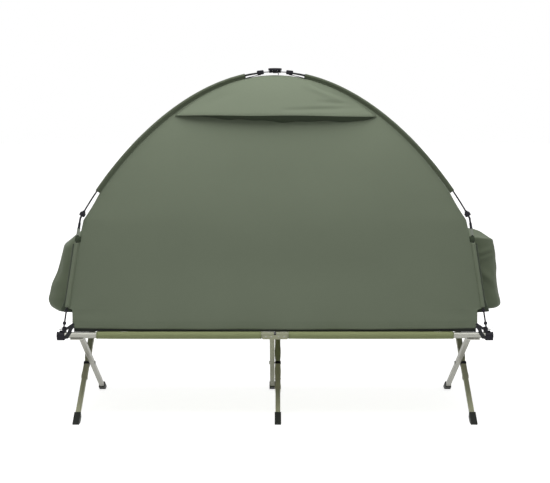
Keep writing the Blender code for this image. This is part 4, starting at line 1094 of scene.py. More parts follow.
# %% Hoods, the binding of their mouths and their gussets of painted shade
GUSSET_LOW, GUSSET_HIGH, GUSSET_Y, GUSSET_WIDTH = 0.500, 0.802, 0.2365, 0.062
GUSSET_OUT, GUSSET_SLOPE, GUSSET_FLARE = 0.9553, 0.1624, 0.011


def gusset_grid(side_x, side_y, seed):
    """A strip that fills the corner between a hood and the pole beside it; its near-black cloth is painted
    shade.
    """
    grid = []
    for z in np.linspace(GUSSET_LOW, GUSSET_HIGH, 22):
        flare = GUSSET_FLARE * math.exp(-((z - GUSSET_LOW) / 0.035) ** 2)
        far = GUSSET_OUT - GUSSET_SLOPE * (z - PIN_TOP[1]) + flare
        row = []
        for u in np.linspace(0, 1, 9):
            y = side_y * (GUSSET_Y + GUSSET_WIDTH * u)
            flat = float(end_wall(y, z, seed)) + HOOD_GAP
            row.append((side_x * (flat + max(0, far - flat) * math.sin(math.pi * u) ** 0.8), y, z))
        grid.append(row)
    return grid


for end_name, side_x in ENDS:
    hood = HOODS[end_name]
    hood_points = hood_grid(hood) * (side_x, 1, 1)
    add_cloth(f"hood_{end_name}", hood_points, hood_cloth, 0.0010,
              [f"end_hood_{end_name}"], flip=side_x < 0)
    binding = rod(f"hood_binding_{end_name}", hood_points[0], 0.0022, dark_cloth_and_painted_shade, up=(1, 0, 0), sides=8)
    settle_on(binding, "tent")
    for frame_name, side_y in FRAMES:
        # The gussets' near-black cloth is painted shade for the corner between the hood and the pole.
        add_cloth(f"hood_gusset_{end_name}_{frame_name}", gusset_grid(side_x, side_y, hood["seed"]),
                  dark_cloth_and_painted_shade, 0.0008, flip=side_x * side_y < 0)

# %% [markdown]
# The door is a flap, rolled up and tied above its arch. A roll is a strip wound in a spiral, so
# its section is a spiral, drawn in where the ties go round and loose at the two ends. A spiral
# that is laid out by rule keeps its layers apart, which a simulation of a roll seldom does.

# %% The rolled door
ROLL_HEIGHT, ROLL_HALF, ROLL_RADIUS, ROLL_CORE = 1.160, 0.440, 0.026, 0.006
ROLL_TURNS, ROLL_STEPS = 3.25, 74
ROLL_TIES = (-0.22, 0.22)


def roll_y(x):
    """The roll lies against the back wall and bends with it."""
    return float(long_wall(x, ROLL_HEIGHT - 0.008, BACK_SEED)) + ROLL_RADIUS + 0.0025


def roll_radius(x):
    waist = sum(math.exp(-((x - tie) / 0.030) ** 2) for tie in ROLL_TIES)
    slack = 0.0012 * math.sin(34 * x + 1) + 0.0016 * noise.noise(Vector((x * 9, 2, 2)))
    return ROLL_RADIUS - 0.0022 - 0.0080 * waist + slack


def spiral(x):
    """The wound strip's line at a place along the roll, inside first."""
    outer, centre_y = roll_radius(x), roll_y(x)
    points = []
    for share in np.arange(ROLL_STEPS) / (ROLL_STEPS - 1):
        angle = 2 * math.pi * ROLL_TURNS * share - 0.6
        far = (ROLL_CORE + (outer - ROLL_CORE) * share) * (1 + 0.02 * math.sin(3 * angle + 9 * x))
        points.append((x, centre_y + far * math.cos(angle), ROLL_HEIGHT + far * math.sin(angle) * 0.97))
    return points


add_cloth("door_roll_cloth", [spiral(x) for x in np.linspace(-ROLL_HALF, ROLL_HALF, 76)], tent_cloth, 0.0011,
          ["door_roll"])

# %% [markdown]
# Two bands of webbing hold the roll, and the tail of each hangs down. A band could be a torus, but
# webbing is flat, so a ring of two edges gets a thickness.

# %% The roll's ties
TIE_WIDTH, TIE_THICKNESS = 0.016, 0.0012
TIE_TAIL = [  # step along the roll, share of the girth out, share of the girth down, and further down
    (0.002, 0.75, 0.8, 0.0), (0.004, 0.62, 1, 0.012), (0.003, 0.55, 1, 0.030), (0.006, 0.5, 1, 0.046)]

for number, tie in enumerate(ROLL_TIES):
    girth, tie_y = roll_radius(tie) + 0.0012, roll_y(tie)
    loop = [(tie_y + girth * math.cos(a), ROLL_HEIGHT + girth * math.sin(a))
            for a in np.linspace(0, 2 * math.pi, 29)[:-1]]
    rings = [[(tie + w, y, z) for y, z in loop] for w in (-TIE_WIDTH / 2, TIE_WIDTH / 2)]
    wrap = thicken(add_grid("wrap", rings, webbing, ring=True), TIE_THICKNESS)
    hang = [(tie + step, tie_y + girth * out, ROLL_HEIGHT - girth * down - further)
            for step, out, down, further in TIE_TAIL]
    tail = add_grid("tail", carry(hang, [(-0.006, 0), (0.006, 0)], (0, 1, 0)), webbing)
    both = joined(f"roll_tie_{number}_band", [wrap, thicken(tail, TIE_THICKNESS, offset=0)])
    settle_on(both, "tent")
print("ties at", ROLL_TIES)

# %% [markdown]
# A zip runs round the doorway on its own tape. The tape is a flat strip laid on the wall, and
# its line is used again for the teeth and for the stitches on both of its edges.

# %% Zip tape round the doorway
TAPE_EDGES, TAPE_STAND = (0.001, 0.021), 0.0010


def round_door(grow, stand):
    """A line on the back wall round the doorway, by how far outside its edge it runs."""
    return np.array([(x, float(long_wall(x, z, BACK_SEED)) + stand, z) for x, z in door_outline(grow, 18)])


def closed(points):
    return np.concatenate([points, points[:1]])


tape = add_grid("door_tape", [round_door(grow, TAPE_STAND) for grow in TAPE_EDGES], sleeve_cloth, ring=True)
thicken(tape, 0.0010, offset=0)
settle_on(tape, "tent")
print("zip tape", len(tape.data.polygons), "faces")

# %% [markdown]
# Thousands of small equal things follow lines on this object: stitches along each seam, the
# teeth of the zip, rivets on the legs. Modelling each by hand would be slow, and a texture has
# no depth, so a Geometry Nodes tree lays one small shape along any line it is given.

# %% A tree that lays small pieces along lines
def along_lines_tree():
    tree = bpy.data.node_groups.new("pieces_along_lines", "GeometryNodeTree")
    sockets = [("Geometry", "Geometry", None), ("Pitch", "Float", 0.006), ("Length", "Float", 0.004),
               ("Width", "Float", 0.001), ("Height", "Float", 0.0007), ("Unevenness", "Float", 0.1),
               ("Seed", "Int", 7), ("Finish", "Material", None)]
    for name, kind, value in sockets:
        socket = tree.interface.new_socket(name, in_out="INPUT", socket_type="NodeSocket" + kind)
        if value is not None:
            socket.default_value = value
    tree.interface.new_socket("Geometry", in_out="OUTPUT", socket_type="NodeSocketGeometry")
    given = tree.nodes.new("NodeGroupInput").outputs
    curve = add_node(tree, "GeometryNodeMeshToCurve", {"Mesh": given["Geometry"]})
    spaced = add_node(tree, "GeometryNodeResampleCurve",
                      {"Curve": curve.outputs["Curve"], "Length": given["Pitch"]}, mode="LENGTH")
    ball = add_node(tree, "GeometryNodeMeshIcoSphere", {"Radius": 0.5, "Subdivisions": 2})
    size = add_node(tree, "ShaderNodeCombineXYZ",
                    {"X": given["Length"], "Y": given["Width"], "Z": given["Height"]})
    shaped = add_node(tree, "GeometryNodeTransform",
                      {"Geometry": ball.outputs["Mesh"], "Scale": size.outputs[0]})
    tangent = add_node(tree, "GeometryNodeInputTangent")
    turn = add_node(tree, "FunctionNodeAlignRotationToVector", {"Vector": tangent.outputs[0]}, axis="X")
    least = math_node(tree, "SUBTRACT", 1.0, given["Unevenness"])
    uneven = add_node(tree, "FunctionNodeRandomValue", {2: least, 3: 1.0, "Seed": given["Seed"]},
                      data_type="FLOAT")
    placed = add_node(tree, "GeometryNodeInstanceOnPoints", {
        "Points": spaced.outputs["Curve"], "Instance": shaped.outputs["Geometry"],
        "Rotation": turn.outputs["Rotation"], "Scale": uneven.outputs[1]})
    real = add_node(tree, "GeometryNodeRealizeInstances", {"Geometry": placed.outputs["Instances"]})
    dressed = add_node(tree, "GeometryNodeSetMaterial",
                       {"Geometry": real.outputs["Geometry"], "Material": given["Finish"]})
    add_node(tree, "NodeGroupOutput", {"Geometry": dressed.outputs["Geometry"]})
    return tree


ALONG_LINES = along_lines_tree()


def lay_along(name, lines, finish, body, pitch, length=0.0042, width=0.0011, height=0.0009,
              uneven=0.15):
    """Small rounded pieces along lines of points, as one plain mesh."""
    points, edges = [], []
    for line in lines:
        first = len(points)
        points += [tuple(map(float, p)) for p in line]
        edges += [(first + i, first + i + 1) for i in range(len(line) - 1)]
    mesh = bpy.data.meshes.new(name)
    mesh.from_pydata(points, edges, [])
    made = add_object(name, mesh)
    modifier = made.modifiers.new("along_lines", "NODES")
    modifier.node_group = ALONG_LINES
    values = {"Pitch": pitch, "Length": length, "Width": width, "Height": height, "Unevenness": uneven,
              "Seed": 7, "Finish": finish}
    for item in ALONG_LINES.interface.items_tree:
        if item.in_out == "INPUT" and item.name in values:
            modifier[item.identifier] = values[item.name]
    settle(made)
    made.data.shade_smooth()
    settle_on(made, body)
    print(name, len(made.data.polygons), "faces")


# %% [markdown]
# The stitches follow lines that the lesson already has: the corner seams, two rows of the hem, two
# rows of the brow and both edges of the zip's tape. The teeth of the zip run between these two.

# %% Stitches and zip teeth on the tent
STITCH_PITCH, HEM_PITCH = 0.0065, 0.0075
ARCH_SEAM_IN, CHANNEL_SEAM_IN = 0.0118, (0.0100, 0.0013)
ARCH_SEAM_HALF, CHANNEL_SEAM_HALF = 0.0019, 0.0022
TAPE_SEAMS, TAPE_SEAM_STAND, TEETH_LINE, TEETH_STAND = (0.004, 0.018), 0.0018, 0.0108, 0.0022
seam_lines = []
for corner in CORNERS:
    place, inward = on_arc(np.linspace(SLEEVE_START + 0.004, ARC_LENGTH - SLEEVE_END - 0.026, 70))
    arch_seam = corner.in_space(place + inward * ARCH_SEAM_IN)
    channel_seam = corner.in_space(lower_at(np.linspace(0.530, 0.808, 24)) - CHANNEL_SEAM_IN)
    across = corner.across / DIAGONAL
    for sign in (-1, 1):
        seam_lines.append(arch_seam + across * sign * ARCH_SEAM_HALF)
        seam_lines.append(channel_seam + across * sign * CHANNEL_SEAM_HALF)
hem_lines = [canopy_points[row] * (1.0004, 1.0012, 1) for row in (2, 4)]
brow_lines = [brow_points[row] + (0, -0.0004, 0) for row in (-2, -3)]
tape_lines = [closed(round_door(grow, TAPE_SEAM_STAND)) for grow in TAPE_SEAMS]
lay_along("seam_stitches", seam_lines, thread_pale, "tent", STITCH_PITCH)
lay_along("hem_stitches", hem_lines, thread_pale, "tent", HEM_PITCH)
lay_along("brow_stitches", brow_lines, thread_pale, "tent", STITCH_PITCH)
lay_along("tape_stitches", tape_lines, thread_pale, "tent", STITCH_PITCH)
lay_along("zip_teeth", [closed(round_door(TEETH_LINE, TEETH_STAND))], black_plastic, "tent",
          0.0034, length=0.0019, width=0.0052, height=0.0022, uneven=0.0)

# %% [markdown]
# The bed is one length of canvas. Each side is turned round a rail and sewn to a sleeve, and the
# middle hangs a little. The sleeves turn with the rails when the legs fold and the middle sheet
# folds up, so they are three pieces here.

# %% Bed sheet
RAIL_Y, RAIL_Z, RAIL_R = 0.320, 0.4015, 0.0135
BED_X, BED_Y, BED_GAP, BED_Z = 0.790, 0.3045, 0.060, 0.4158
SHEET_HELD, SHEET_SAG, SHEET_CRUMPLE, SHEET_PULL = 0.306, 0.0158, 0.0007, 0.0010


def sheet_height(x, y):
    share = np.clip(y / SHEET_HELD, -1, 1)
    sag = SHEET_SAG * (1 - share**2)
    crumple = SHEET_CRUMPLE * noise.noise(Vector((x * 7, y * 11, 4)))
    pull = SHEET_PULL * math.sin(x * 41 + y * 9) * abs(share) ** 4 * max(0, 1 - (BED_X - abs(x)) / 0.25)
    return BED_Z - sag + crumple + pull - 0.0004


bed_grid = [[(x, y, sheet_height(x, y)) for x in np.linspace(-BED_X, BED_X, 96)]
            for y in np.linspace(-BED_Y, BED_Y, 44)]
add_cloth("bed_sheet", bed_grid, bed_canvas, 0.0014, replaced=["bed_cloth"], body="bed")

# %% [markdown]
# The canvas goes round the rail from a seam on its inner side and comes back to it. It could be a
# plain tube, but the two layers at the seam would be missing, so the whole turn is drawn as one
# open section, with a little slack under the rail.

# %% Rail sleeves and their stitches
WRAP_FROM, WRAP_OVER, WRAP_STEPS = 168, 348, 28
SEAM_Y, FLAP_Y = RAIL_Y - RAIL_R - 0.0052, RAIL_Y - 0.0225
STITCH_Y, STITCH_UP, LOOP_OUT, LOOP_UP = RAIL_Y - 0.0190, 0.0046, 0.0164, 0.0166


def sleeve_around_rail(side_y, start, end):
    """The turned side of the canvas: from the seam inside the rail, over it and back to the seam."""
    rings = []
    for x in np.linspace(start, end, 60):
        near_end = min(abs(x - start), abs(x - end))
        ring = [(FLAP_Y, 0.0040), (SEAM_Y, 0.0030)]
        for i in range(WRAP_STEPS + 1):
            angle = math.radians(WRAP_FROM - WRAP_OVER * i / WRAP_STEPS)
            slack = 0.0004 + 0.0005 * (0.5 + 0.5 * noise.noise(Vector((x * 14, angle, side_y))))
            slack += 0.0012 * max(0, -math.sin(angle)) * (1 - math.exp(-near_end / 0.05))
            far = RAIL_R + 0.0006 + slack + 0.0005 * math.exp(-near_end / 0.008)
            ring.append((RAIL_Y + far * math.cos(angle), far * math.sin(angle)))
        ring += [(SEAM_Y, 0.0030 - 0.0014), (FLAP_Y, 0.0026)]
        rings.append([(x, side_y * y, RAIL_Z + up) for y, up in ring])
    return rings


for frame_name, side_y in FRAMES:
    parts, lines = [], []
    for start, end in ((-BED_X, -BED_GAP), (BED_GAP, BED_X)):
        half_sleeve = add_grid("half", sleeve_around_rail(side_y, start, end), bed_canvas, flip=side_y > 0)
        parts.append(thicken(half_sleeve, 0.0010, offset=1))
        lines.append([(x, side_y * STITCH_Y, RAIL_Z + STITCH_UP)
                      for x in np.linspace(start + 0.004, end - 0.004, 40)])
        for end_x in (start + (0.006 if start < 0 else 0.004), end - 0.005):
            lines.append([(end_x, side_y * (RAIL_Y + LOOP_OUT * math.cos(a)), RAIL_Z + LOOP_UP * math.sin(a))
                          for a in np.linspace(-1.4, 2.6, 26)])
    rail_sleeve = joined(f"rail_sleeve_{frame_name}", parts)
    settle_on(rail_sleeve, f"{frame_name}_frame")
    lay_along(f"rail_sleeve_stitches_{frame_name}", lines, thread_pale, f"{frame_name}_frame",
              0.007)

# %% [markdown]
# Black webbing ties each corner of the tent to the end of its rail: a loop round the rail, which
# turns with it, and a tab and a tail on the tent. Webbing is a flat band, so a thin section is
# carried along the path that it takes.

# %% Webbing, and the path round the rail's end
STRAP_X, STRAP_FAR, STRAP_LEAN = 0.9175, RAIL_R + 0.0014, 0.60
STRAP_FROM, STRAP_OVER = 100, 340
LOOP_BAND, TAB_BAND, TAIL_BAND = (0.0175, 0.0016), (0.0165, 0.0018), (0.0115, 0.0015)  # width, thickness
TAB = [(0.9085, 0.3265, 0.4168), (0.9075, 0.3262, 0.4220), (0.9040, 0.3235, 0.4300),
       (0.8985, 0.3205, 0.4375), (0.8925, 0.3190, 0.4430)]
TAIL = [(0.9290, 0.3215, 0.4262), (0.9240, 0.3240, 0.4300), (0.9150, 0.3245, 0.4355),
        (0.9050, 0.3225, 0.4425), (0.8965, 0.3200, 0.4480), (0.8900, 0.3188, 0.4525)]


def band(name, path, up, width, thickness):
    """Webbing along a path: flat, a little thicker in its middle."""
    across = (-0.5 * width, -0.15 * width, 0.15 * width, 0.5 * width)
    deep = (0.5 * thickness, 0.62 * thickness, 0.62 * thickness, 0.5 * thickness)
    under = [(u, -v) for u, v in zip(across, deep)]
    return add_grid(name, carry(path, under + [(u, -v) for u, v in under[::-1]], up), webbing, ring=True,
                    caps=True, flat_degrees=60)


def strap_loop(corner):
    """The loop's path round the rail, leaning along it, and the direction outwards at each point."""
    path = []
    for a in np.linspace(math.radians(STRAP_FROM), math.radians(STRAP_FROM - STRAP_OVER), 32):
        up, out = STRAP_FAR * math.sin(a), STRAP_FAR * math.cos(a)
        path.append((STRAP_X - STRAP_LEAN * up, RAIL_Y + out, RAIL_Z + up))
    path = corner.at(path)
    outwards = path - corner.at((STRAP_X, RAIL_Y, RAIL_Z))
    outwards[:, 0] = 0
    return path, outwards


# %% [markdown]
# Each corner gets its webbing and the fitting beside it. A moulded cap closes the rail's end. It
# could be carved from one block, but it is built as it looks: a turned tube, a block with rounded
# edges and a turned knob.

# %% Straps and caps at the corners
CAP_AT, SADDLE_AT, KNOB_AT = (0.9302, 0.3200, 0.4010), (0.9474, 0.3205, 0.3912), (0.9480, 0.3205, 0.4145)
CAP = [(0, 0.0142), (0.0008, 0.0151), (0.0300, 0.0153), (0.0335, 0.0142), (0.0352, 0.0105)]
KNOB = [(0, 0.0050), (0.0010, 0.0062), (0.0055, 0.0062), (0.0080, 0.0042)]
SADDLE_SIZE = (0.0345, 0.0310, 0.0215)
SQUARE = ((1, 0, 0), (0, 1, 0), (0, 0, 1))

for corner in CORNERS:
    loop = band(f"tie_strap_loop_{corner.name}", *strap_loop(corner), *LOOP_BAND)
    settle_on(loop, corner.body, [f"tie_strap_{corner.name}"])
    facing = (0, corner.side_y, 0)
    tab = band("tab", corner.at(TAB), facing, *TAB_BAND)
    tail = band("tail", corner.at(TAIL), facing, *TAIL_BAND)
    settle_on(joined(f"corner_strap_{corner.name}", [tab, tail]), "tent")
    parts = [
        turned("cap", corner.at(CAP_AT), (corner.side_x, 0, 0), CAP, black_plastic, 32),
        soft_block("saddle", corner.at(SADDLE_AT), SQUARE, SADDLE_SIZE, 0.0030, black_plastic),
        turned("knob", corner.at(KNOB_AT), (0, 0, 1), KNOB, black_plastic, 20),
    ]
    settle_on(joined(f"rail_cap_{corner.name}", parts), corner.body)
print("caps reach x", CAP_AT[0] + CAP[-1][0])

# %% [markdown]
# Each pole is a thin dark rod. Its lower half stands in the corner cup and runs straight to the
# elbow, its upper half is the arc. Two black beads sit on the lower half, by the corner's cloth.

# %% Poles and beads
POLE_R = 0.0036
ELBOW_FROM_END, ELBOW_UP = 0.056, 0.0165
LOWER_LENGTH = float(np.linalg.norm((ELBOW - PIN_TOP) * (DIAGONAL, 1)))
POLE_FOOT = [(0.934, 0.4206), (0.934, 0.4300)]
BEAD_HEIGHTS = (0.5115, 0.4560)
BEAD = [(0, 0.0050), (0.001, 0.0070), (0.004, 0.0078), (0.009, 0.0078), (0.012, 0.0068), (0.013, 0.0050)]


def lower_from_elbow(distance):
    """A place on the lower pole, by its distance down from the elbow."""
    return ELBOW + (PIN_TOP - ELBOW) * np.asarray(distance, float)[..., None] / LOWER_LENGTH


lower_steps = lower_from_elbow(np.linspace(LOWER_LENGTH - 0.004, ELBOW_FROM_END - 0.006, 26))
lower_line = np.concatenate([POLE_FOOT, lower_steps])
upper_line, _ = on_arc(np.linspace(ELBOW_UP - 0.004, ARC_LENGTH - 0.080, 90))
for corner in CORNERS:
    for half, line in (("lower", lower_line), ("upper", upper_line)):
        pole = rod(f"{half}_rod_{corner.name}", corner.in_space(line), POLE_R, rod_finish, corner.across, 14)
        settle_on(pole, "tent", [f"{half}_pole_{corner.name}"])
    downwards = corner.in_space(PIN_TOP - ELBOW)
    beads = [turned("bead", corner.in_space(lower_at(height + 0.006)), downwards, BEAD, black_plastic, 20)
             for height in BEAD_HEIGHTS]
    settle_on(joined(f"pole_beads_{corner.name}", beads), "tent")
print("lower pole", round(LOWER_LENGTH, 4), "m")

# %% [markdown]
# The elbow is a moulded block on the upper rod. A black arm hangs from it to the top of the lower
# rod, which stands in a pale sleeve, and under that a folded cloth tab holds the wall. The joint
# is built from turned and moulded parts on the pole's own directions, and joined to one.

# %% Elbows and tabs
BLOCK_AT = (0.010, 0.019, 0.028)
ARM_AT = (0.010, 0.028, 0.050)
BLOCK_SIZE = (0.0195, 0.0210, 0.0240)
COLLAR = [(0, 0.0078), (0.008, 0.0074), (0.010, 0.0052)]
KNUCKLE = [(0, 0.0044), (0.001, 0.0056), (0.021, 0.0056), (0.023, 0.0068), (0.027, 0.0068), (0.028, 0.0056)]
PALE_SLEEVE = [(0, 0.0056), (0.001, 0.0068), (0.029, 0.0068), (0.031, 0.0054)]
AXLE = [(0, 0.0024), (0.0006, 0.0030), (0.0224, 0.0030), (0.023, 0.0024)]
ARM_R, COLLAR_UP, AXLE_OUT, KNUCKLE_DOWN, PALE_DOWN = 0.0044, 0.007, 0.0115, 0.022, 0.045
CLIP_HEIGHT, CLIP_HALF, CLIP_RADIUS, CLIP_REACH = 0.8285, 0.0125, 0.0086, 0.0165

for corner in CORNERS:
    down = Vector(corner.in_space(PIN_TOP - ELBOW)).normalized()
    across = Vector(corner.across).normalized()
    elbow_at = Vector(corner.in_space(ELBOW))
    below, block_at, above = [Vector(p) for p in corner.in_space(on_arc(BLOCK_AT)[0])]
    up = (above - below).normalized()
    arm_line = [below, elbow_at, *map(Vector, corner.in_space(lower_from_elbow(ARM_AT)))]
    parts = [
        soft_block("block", block_at, (up, across, up.cross(across)), BLOCK_SIZE, 0.0042, black_plastic),
        turned("collar", block_at + up * COLLAR_UP, up, COLLAR, black_plastic, 20),
        rod("arm", arm_line, ARM_R, black_plastic, tuple(across), 14),
        turned("knuckle", elbow_at + down * KNUCKLE_DOWN, down, KNUCKLE, black_plastic, 20),
        turned("sleeve", elbow_at + down * PALE_DOWN, down, PALE_SLEEVE, pale_plastic, 24),
        turned("axle", block_at + across * AXLE_OUT, -across, AXLE, black_plastic, 16),
    ]
    joint = joined(f"elbow_joint_{corner.name}", parts)
    settle_on(joint, "tent", [f"elbow_{corner.name}"])
    clip_at, half = corner.in_space(lower_at(CLIP_HEIGHT)), np.array(down * CLIP_HALF)
    inwards = down.cross(across).normalized()
    if inwards.x * corner.side_x > 0:
        inwards = -inwards
    rings = carry([clip_at - half, clip_at, clip_at + half], folded_section(CLIP_RADIUS, CLIP_REACH), inwards)
    tab = thicken(add_grid(f"clip_tab_{corner.name}", rings, dark_cloth_and_painted_shade, flip=corner.flip), 0.0013, offset=1)
    settle_on(tab, "tent", [f"pole_clip_{corner.name}"])
print("elbows", len(CORNERS))

# %% [markdown]
# At the top, four arms leave a round hub. Each is a thin grey neck and a black block that grips
# the rod, with a strap from the block to the end of the sleeve beside the bare rod.

# %% Hub arms and their straps
ARM_DISTANCES, ARM_UP = np.array([0.0120, 0.0560, 0.0860]), 0.0022
GRIP_SIZE = (0.0300, 0.0170, 0.0185)
LUG = [(0, 0.0040), (0.001, 0.0050), (0.014, 0.0050), (0.017, 0.0034)]
STRAP_DROPS, HUB_BAND = (0.0135, 0.0085), (0.0090, 0.0015)

strap_distances = np.linspace(ARC_LENGTH - SLEEVE_END - 0.030, ARC_LENGTH - 0.070, 14)
strap_place, strap_in = on_arc(strap_distances)
strap_drop = np.interp(strap_distances, [strap_distances[0], strap_distances[-1]], STRAP_DROPS)[:, None]
for corner in CORNERS:
    arm_points = corner.in_space(on_arc(ARC_LENGTH - ARM_DISTANCES)[0])
    hub_side, neck_end, block_end = [Vector(p) + Vector((0, 0, ARM_UP)) for p in arm_points]
    along = (block_end - neck_end).normalized()
    across = Vector(corner.across).normalized()
    reach = neck_end - hub_side
    neck = [(0, 0.0026), (reach.length + 0.004, 0.0026)]
    grip_at, grip_axes = (neck_end + block_end) / 2, (along, across, along.cross(across))
    parts = [
        turned("neck", hub_side, reach.normalized(), neck, grey_rod, 16),
        soft_block("block", grip_at, grip_axes, GRIP_SIZE, 0.0038, black_plastic),
        turned("lug", hub_side, reach.normalized(), LUG, black_plastic, 16),
    ]
    joint = joined(f"hub_joint_{corner.name}", parts)
    settle_on(joint, "tent", [f"hub_arm_{corner.name}"])
    strap = band(f"hub_strap_{corner.name}", corner.in_space(strap_place + strap_in * strap_drop),
                 corner.in_space(strap_in), *HUB_BAND)
    settle_on(strap, "tent")
print("hub arms", len(CORNERS))

# %% [markdown]
# The hub is a round plate with a boss and a small hook under it and a steel cap on top. They are
# turned from profiles, apart from the hook, which is a bent rod.

# %% The hub itself
UPWARDS, PLATE_Z, BOSS_Z, HUB_CAP_Z, HOOK_R = (0, 0, 1), 1.5682, 1.5566, 1.5790, 0.0018
PLATE = [(0, 0.0292), (0.0008, 0.0308), (0.0092, 0.0308), (0.0106, 0.0290), (0.0112, 0.0200)]
BOSS = [(0, 0.0085), (0.0010, 0.0102), (0.0122, 0.0102)]
HOOK = [(0.0110, -0.002, 1.5590), (0.0150, -0.003, 1.5560), (0.0160, -0.003, 1.5520),
        (0.0140, -0.002, 1.5492)]
HUB_CAP = [(0, 0.0110), (0.0005, 0.0110), (0.0010, 0.0100)]

parts = [
    turned("plate", (0, 0, PLATE_Z), UPWARDS, PLATE, black_plastic, 40),
    turned("boss", (0, 0, BOSS_Z), UPWARDS, BOSS, black_plastic, 28),
    rod("hook", HOOK, HOOK_R, black_plastic, (0, 1, 0), 10),
]
settle_on(joined("hub_core", parts), "tent", ["hub"], folds=False)
hub_cap = turned("hub_cap", (0, 0, HUB_CAP_Z), UPWARDS, HUB_CAP, steel, 32)
settle_on(hub_cap, "tent", folds=False)
print("hub", PLATE[1][1] * 2, "m across")

# %% [markdown]
# A pin with a pull ring stops each pole foot in its cup. A ring is a circle carried round a
# circle, and all four are made by one helper.

# %% Corner pins and rings
PIN_AT, PIN_BACK, RING_STEP = (0.946, 0.3245, 0.4290), -0.004, (0.0075, -0.001, 0.0072)
PIN = [(0, 0.0024), (0.008, 0.0024), (0.009, 0.0034), (0.0105, 0.0034), (0.011, 0.0022)]
RING_RADIUS, RING_WIRE = 0.0082, 0.0010


def pull_ring(centre, normal, sides=36, wire_sides=8):
    axis, side, other = square_to(normal)
    grid = []
    for a in 2 * np.pi * np.arange(sides) / sides:
        out = side * math.cos(a) + other * math.sin(a)
        middle = centre + out * RING_RADIUS
        grid.append([middle + out * RING_WIRE * math.cos(b) + axis * RING_WIRE * math.sin(b)
                     for b in 2 * np.pi * np.arange(wire_sides) / wire_sides])
    return add_grid("ring", [*grid, grid[0]], steel, ring=True, flip=True)


for corner in CORNERS:
    place = Vector(corner.at(PIN_AT))
    parts = [
        turned("pin", place + Vector(corner.at((PIN_BACK, 0, 0))), (corner.side_x, 0, 0), PIN, steel, 16),
        pull_ring(place + Vector(corner.at(RING_STEP)), (corner.side_x * 0.35, 1, 0.1)),
    ]
    settle_on(joined(f"corner_pin_{corner.name}", parts), corner.body)
print("pull rings", 2 * RING_RADIUS, "m across")

# %% [markdown]
# The back legs carry a pressed bracket round their upper part with a wider stop in it, a smaller
# one below the crossing, and a black band between them. Each could be a box with its inside cut
# out, but a pressed bracket is a thin channel, so a C section is carried up the leg.

# %% Brackets on the back legs
FOOT_Y = 0.330
LEG_ANGLE = math.atan2(RAIL_Z, RAIL_Y + FOOT_Y)
LEG_UP = (0, -math.sin(LEG_ANGLE), math.cos(LEG_ANGLE))
PIVOT_Z = FOOT_Y * math.tan(LEG_ANGLE)
PRESSED_EDGE, LEG_CLEAR = 0.002, 0.0002
BACK_LEGS = [("left", -0.887, 0.056), ("middle", 0.013, 0.096), ("right", 0.887, 0.056)]
UPPER_ENDS, LOWER_TOP = (PIVOT_Z + 0.020, PIVOT_Z + 0.130), PIVOT_Z - 0.010
BAND_ENDS = (PIVOT_Z - 0.009, PIVOT_Z - 0.001)
UPPER_BULGE = (0.239, 0.0014, 0.011)  # height, how far it stands out, length


def on_back_leg(x, rise):
    """A place on a back leg by its height."""
    return Vector((x, -FOOT_Y + rise / math.tan(LEG_ANGLE), rise))


def channel_section(half, wall, mouth):
    """A C section, open on the side given by mouth, 1 or -1."""
    outside, inside = half + wall, half + LEG_CLEAR
    right = [(outside - PRESSED_EDGE, -outside), (outside, PRESSED_EDGE - outside), (outside, half),
             (inside, half), (inside, -half)]
    left = [(-u, v) for u, v in right]
    return [(u, mouth * v) for u, v in (left[2], left[1], left[0], *right, left[4], left[3])]


def leg_channel(x, low, high, bulges, finish, half=0.0120, wall=0.0010, mouth=1):
    """A channel round a back leg. Each bulge is a height, how far it stands out and its length."""
    heights = np.linspace(low, high, 26)
    sections = []
    for rise in heights:
        flare = sum(out * math.exp(-((rise - middle) / length) ** 2) for middle, out, length in bulges)
        sections.append([(u * (1 + flare / half), v) for u, v in channel_section(half, wall, mouth)])
    rings = carry([on_back_leg(x, rise) for rise in heights], sections, LEG_UP)
    return add_grid("channel", rings, finish, ring=True, caps=True, flat_degrees=30)


for leg_name, x, reach in BACK_LEGS:
    bulges = [(PIVOT_Z - reach + 0.009, 0.0014, 0.007)]
    if leg_name == "middle":
        bulges.append((PIVOT_Z - 0.032, 0.0016, 0.014))
    parts = [
        leg_channel(x, *UPPER_ENDS, [UPPER_BULGE], bracket_metal),
        leg_channel(x, PIVOT_Z - reach, LOWER_TOP, bulges, bracket_metal, 0.0116, 0.0009, -1),
        leg_channel(x, *BAND_ENDS, [], black_plastic, 0.0119, mouth=-1),
    ]
    settle_on(joined(f"leg_bracket_{leg_name}", parts), "back_frame")
print("legs cross at", round(PIVOT_Z, 4))

# %% [markdown]
# Rivets hold the brackets and, in the next step, the hinges' covers. Each could be a turned head,
# but they repeat, so the tree that lays the stitches lays them too, on lines of a fifth of a
# millimetre.

# %% The brackets' rivets
RIVET_HALF, RIVET_PITCH, LEG_RIVET_OUT = 0.0001, 0.01, 0.0131


def lay_rivets(name, centres, axis, body, length, width):
    """Round heads at the given centres, each on a very short line along its axis."""
    step = Vector(axis) * RIVET_HALF
    lay_along(name, [[centre - step, centre + step] for centre in centres], steel, body,
              RIVET_PITCH, length, width, width, 0.0)


leg_rivets = [on_back_leg(x + side * LEG_RIVET_OUT, rise) for _, x, reach in BACK_LEGS
              for rise in (PIVOT_Z + 0.052, PIVOT_Z + 0.112, PIVOT_Z - 0.58 * reach) for side in (-1, 1)]
lay_rivets("bracket_rivets", leg_rivets, (1, 0, 0), "back_frame", 0.0026, 0.0070)

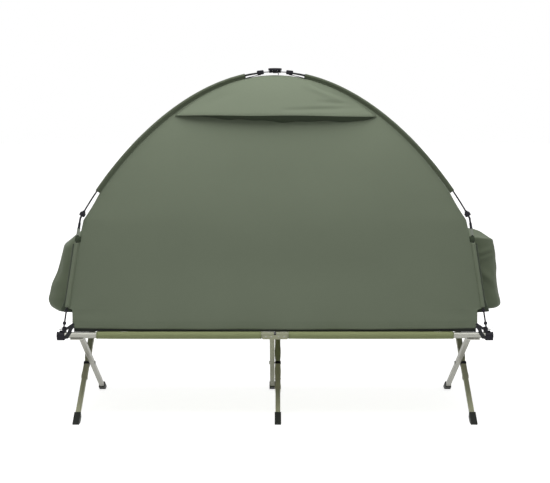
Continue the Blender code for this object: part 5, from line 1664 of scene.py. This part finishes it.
# %% [markdown]
# The rails are hinged in their middle, where a moulded cover goes round each half of the hinge and
# meets the other at a black joint. A cover is round, so it is turned from a profile like the caps.

# %% Hinge covers and their rivets
RAIL_RIVET_OUT, RAIL_RIVET_DROP = 0.0158, 0.0035
RAIL_RIVETS = (-0.040, -0.016, 0.016, 0.040)
COVER = [(0, 0.0140), (0.0006, 0.0148), (0.0470, 0.0148), (0.0485, 0.0155), (0.0525, 0.0155),
         (0.0540, 0.0148), (0.0544, 0.0140)]
JOINT = [(0, 0.0137), (0.0004, 0.0141), (0.0044, 0.0141), (0.0048, 0.0137)]

for frame_name, side_y in FRAMES:
    for end_name, side_x in ENDS:
        parts = [
            turned("part", (side_x * start, side_y * RAIL_Y, RAIL_Z), (side_x, 0, 0), profile, finish, 32)
            for start, profile, finish in ((0.0050, COVER, cover_plastic), (0.0004, JOINT, black_plastic))
        ]
        cover = joined(f"hinge_cover_{frame_name}_{end_name}", parts)
        settle_on(cover, f"{frame_name}_frame")
for frame_name, side_y in FRAMES:
    centres = [Vector((x, side_y * (RAIL_Y + RAIL_RIVET_OUT), RAIL_Z - RAIL_RIVET_DROP)) for x in RAIL_RIVETS]
    lay_rivets(f"hinge_rivets_{frame_name}", centres, (0, 1, 0), f"{frame_name}_frame", 0.0024, 0.0058)

# %% [markdown]
# The rigid nodes keep their measured shapes: rails, legs, feet, bolts and corner fittings. They
# could be made again with softer edges, but the measured ones are right, so each only gets a
# finish of its own.

# %% Finishes on the frame's own nodes
NODE_FINISHES = [  # the first start that fits a node's name counts
    ("rail_", rail_metal), ("leg_front_left", bare_metal), ("leg_front_right", bare_metal),
    ("leg_back_left", light_olive), ("leg_back_right", light_olive), ("leg_", olive_metal),
    ("foot_", foot_rubber), ("cross_bolt", steel), ("corner_fitting", black_plastic),
]
dressed = 0
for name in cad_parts:
    fitting = [finish for start, finish in NODE_FINISHES if name.startswith(start)]
    if fitting:
        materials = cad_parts[name].data.materials
        materials.clear()
        materials.append(fitting[0])
        dressed += 1
print("dressed", dressed, "of", len(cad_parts), "nodes")
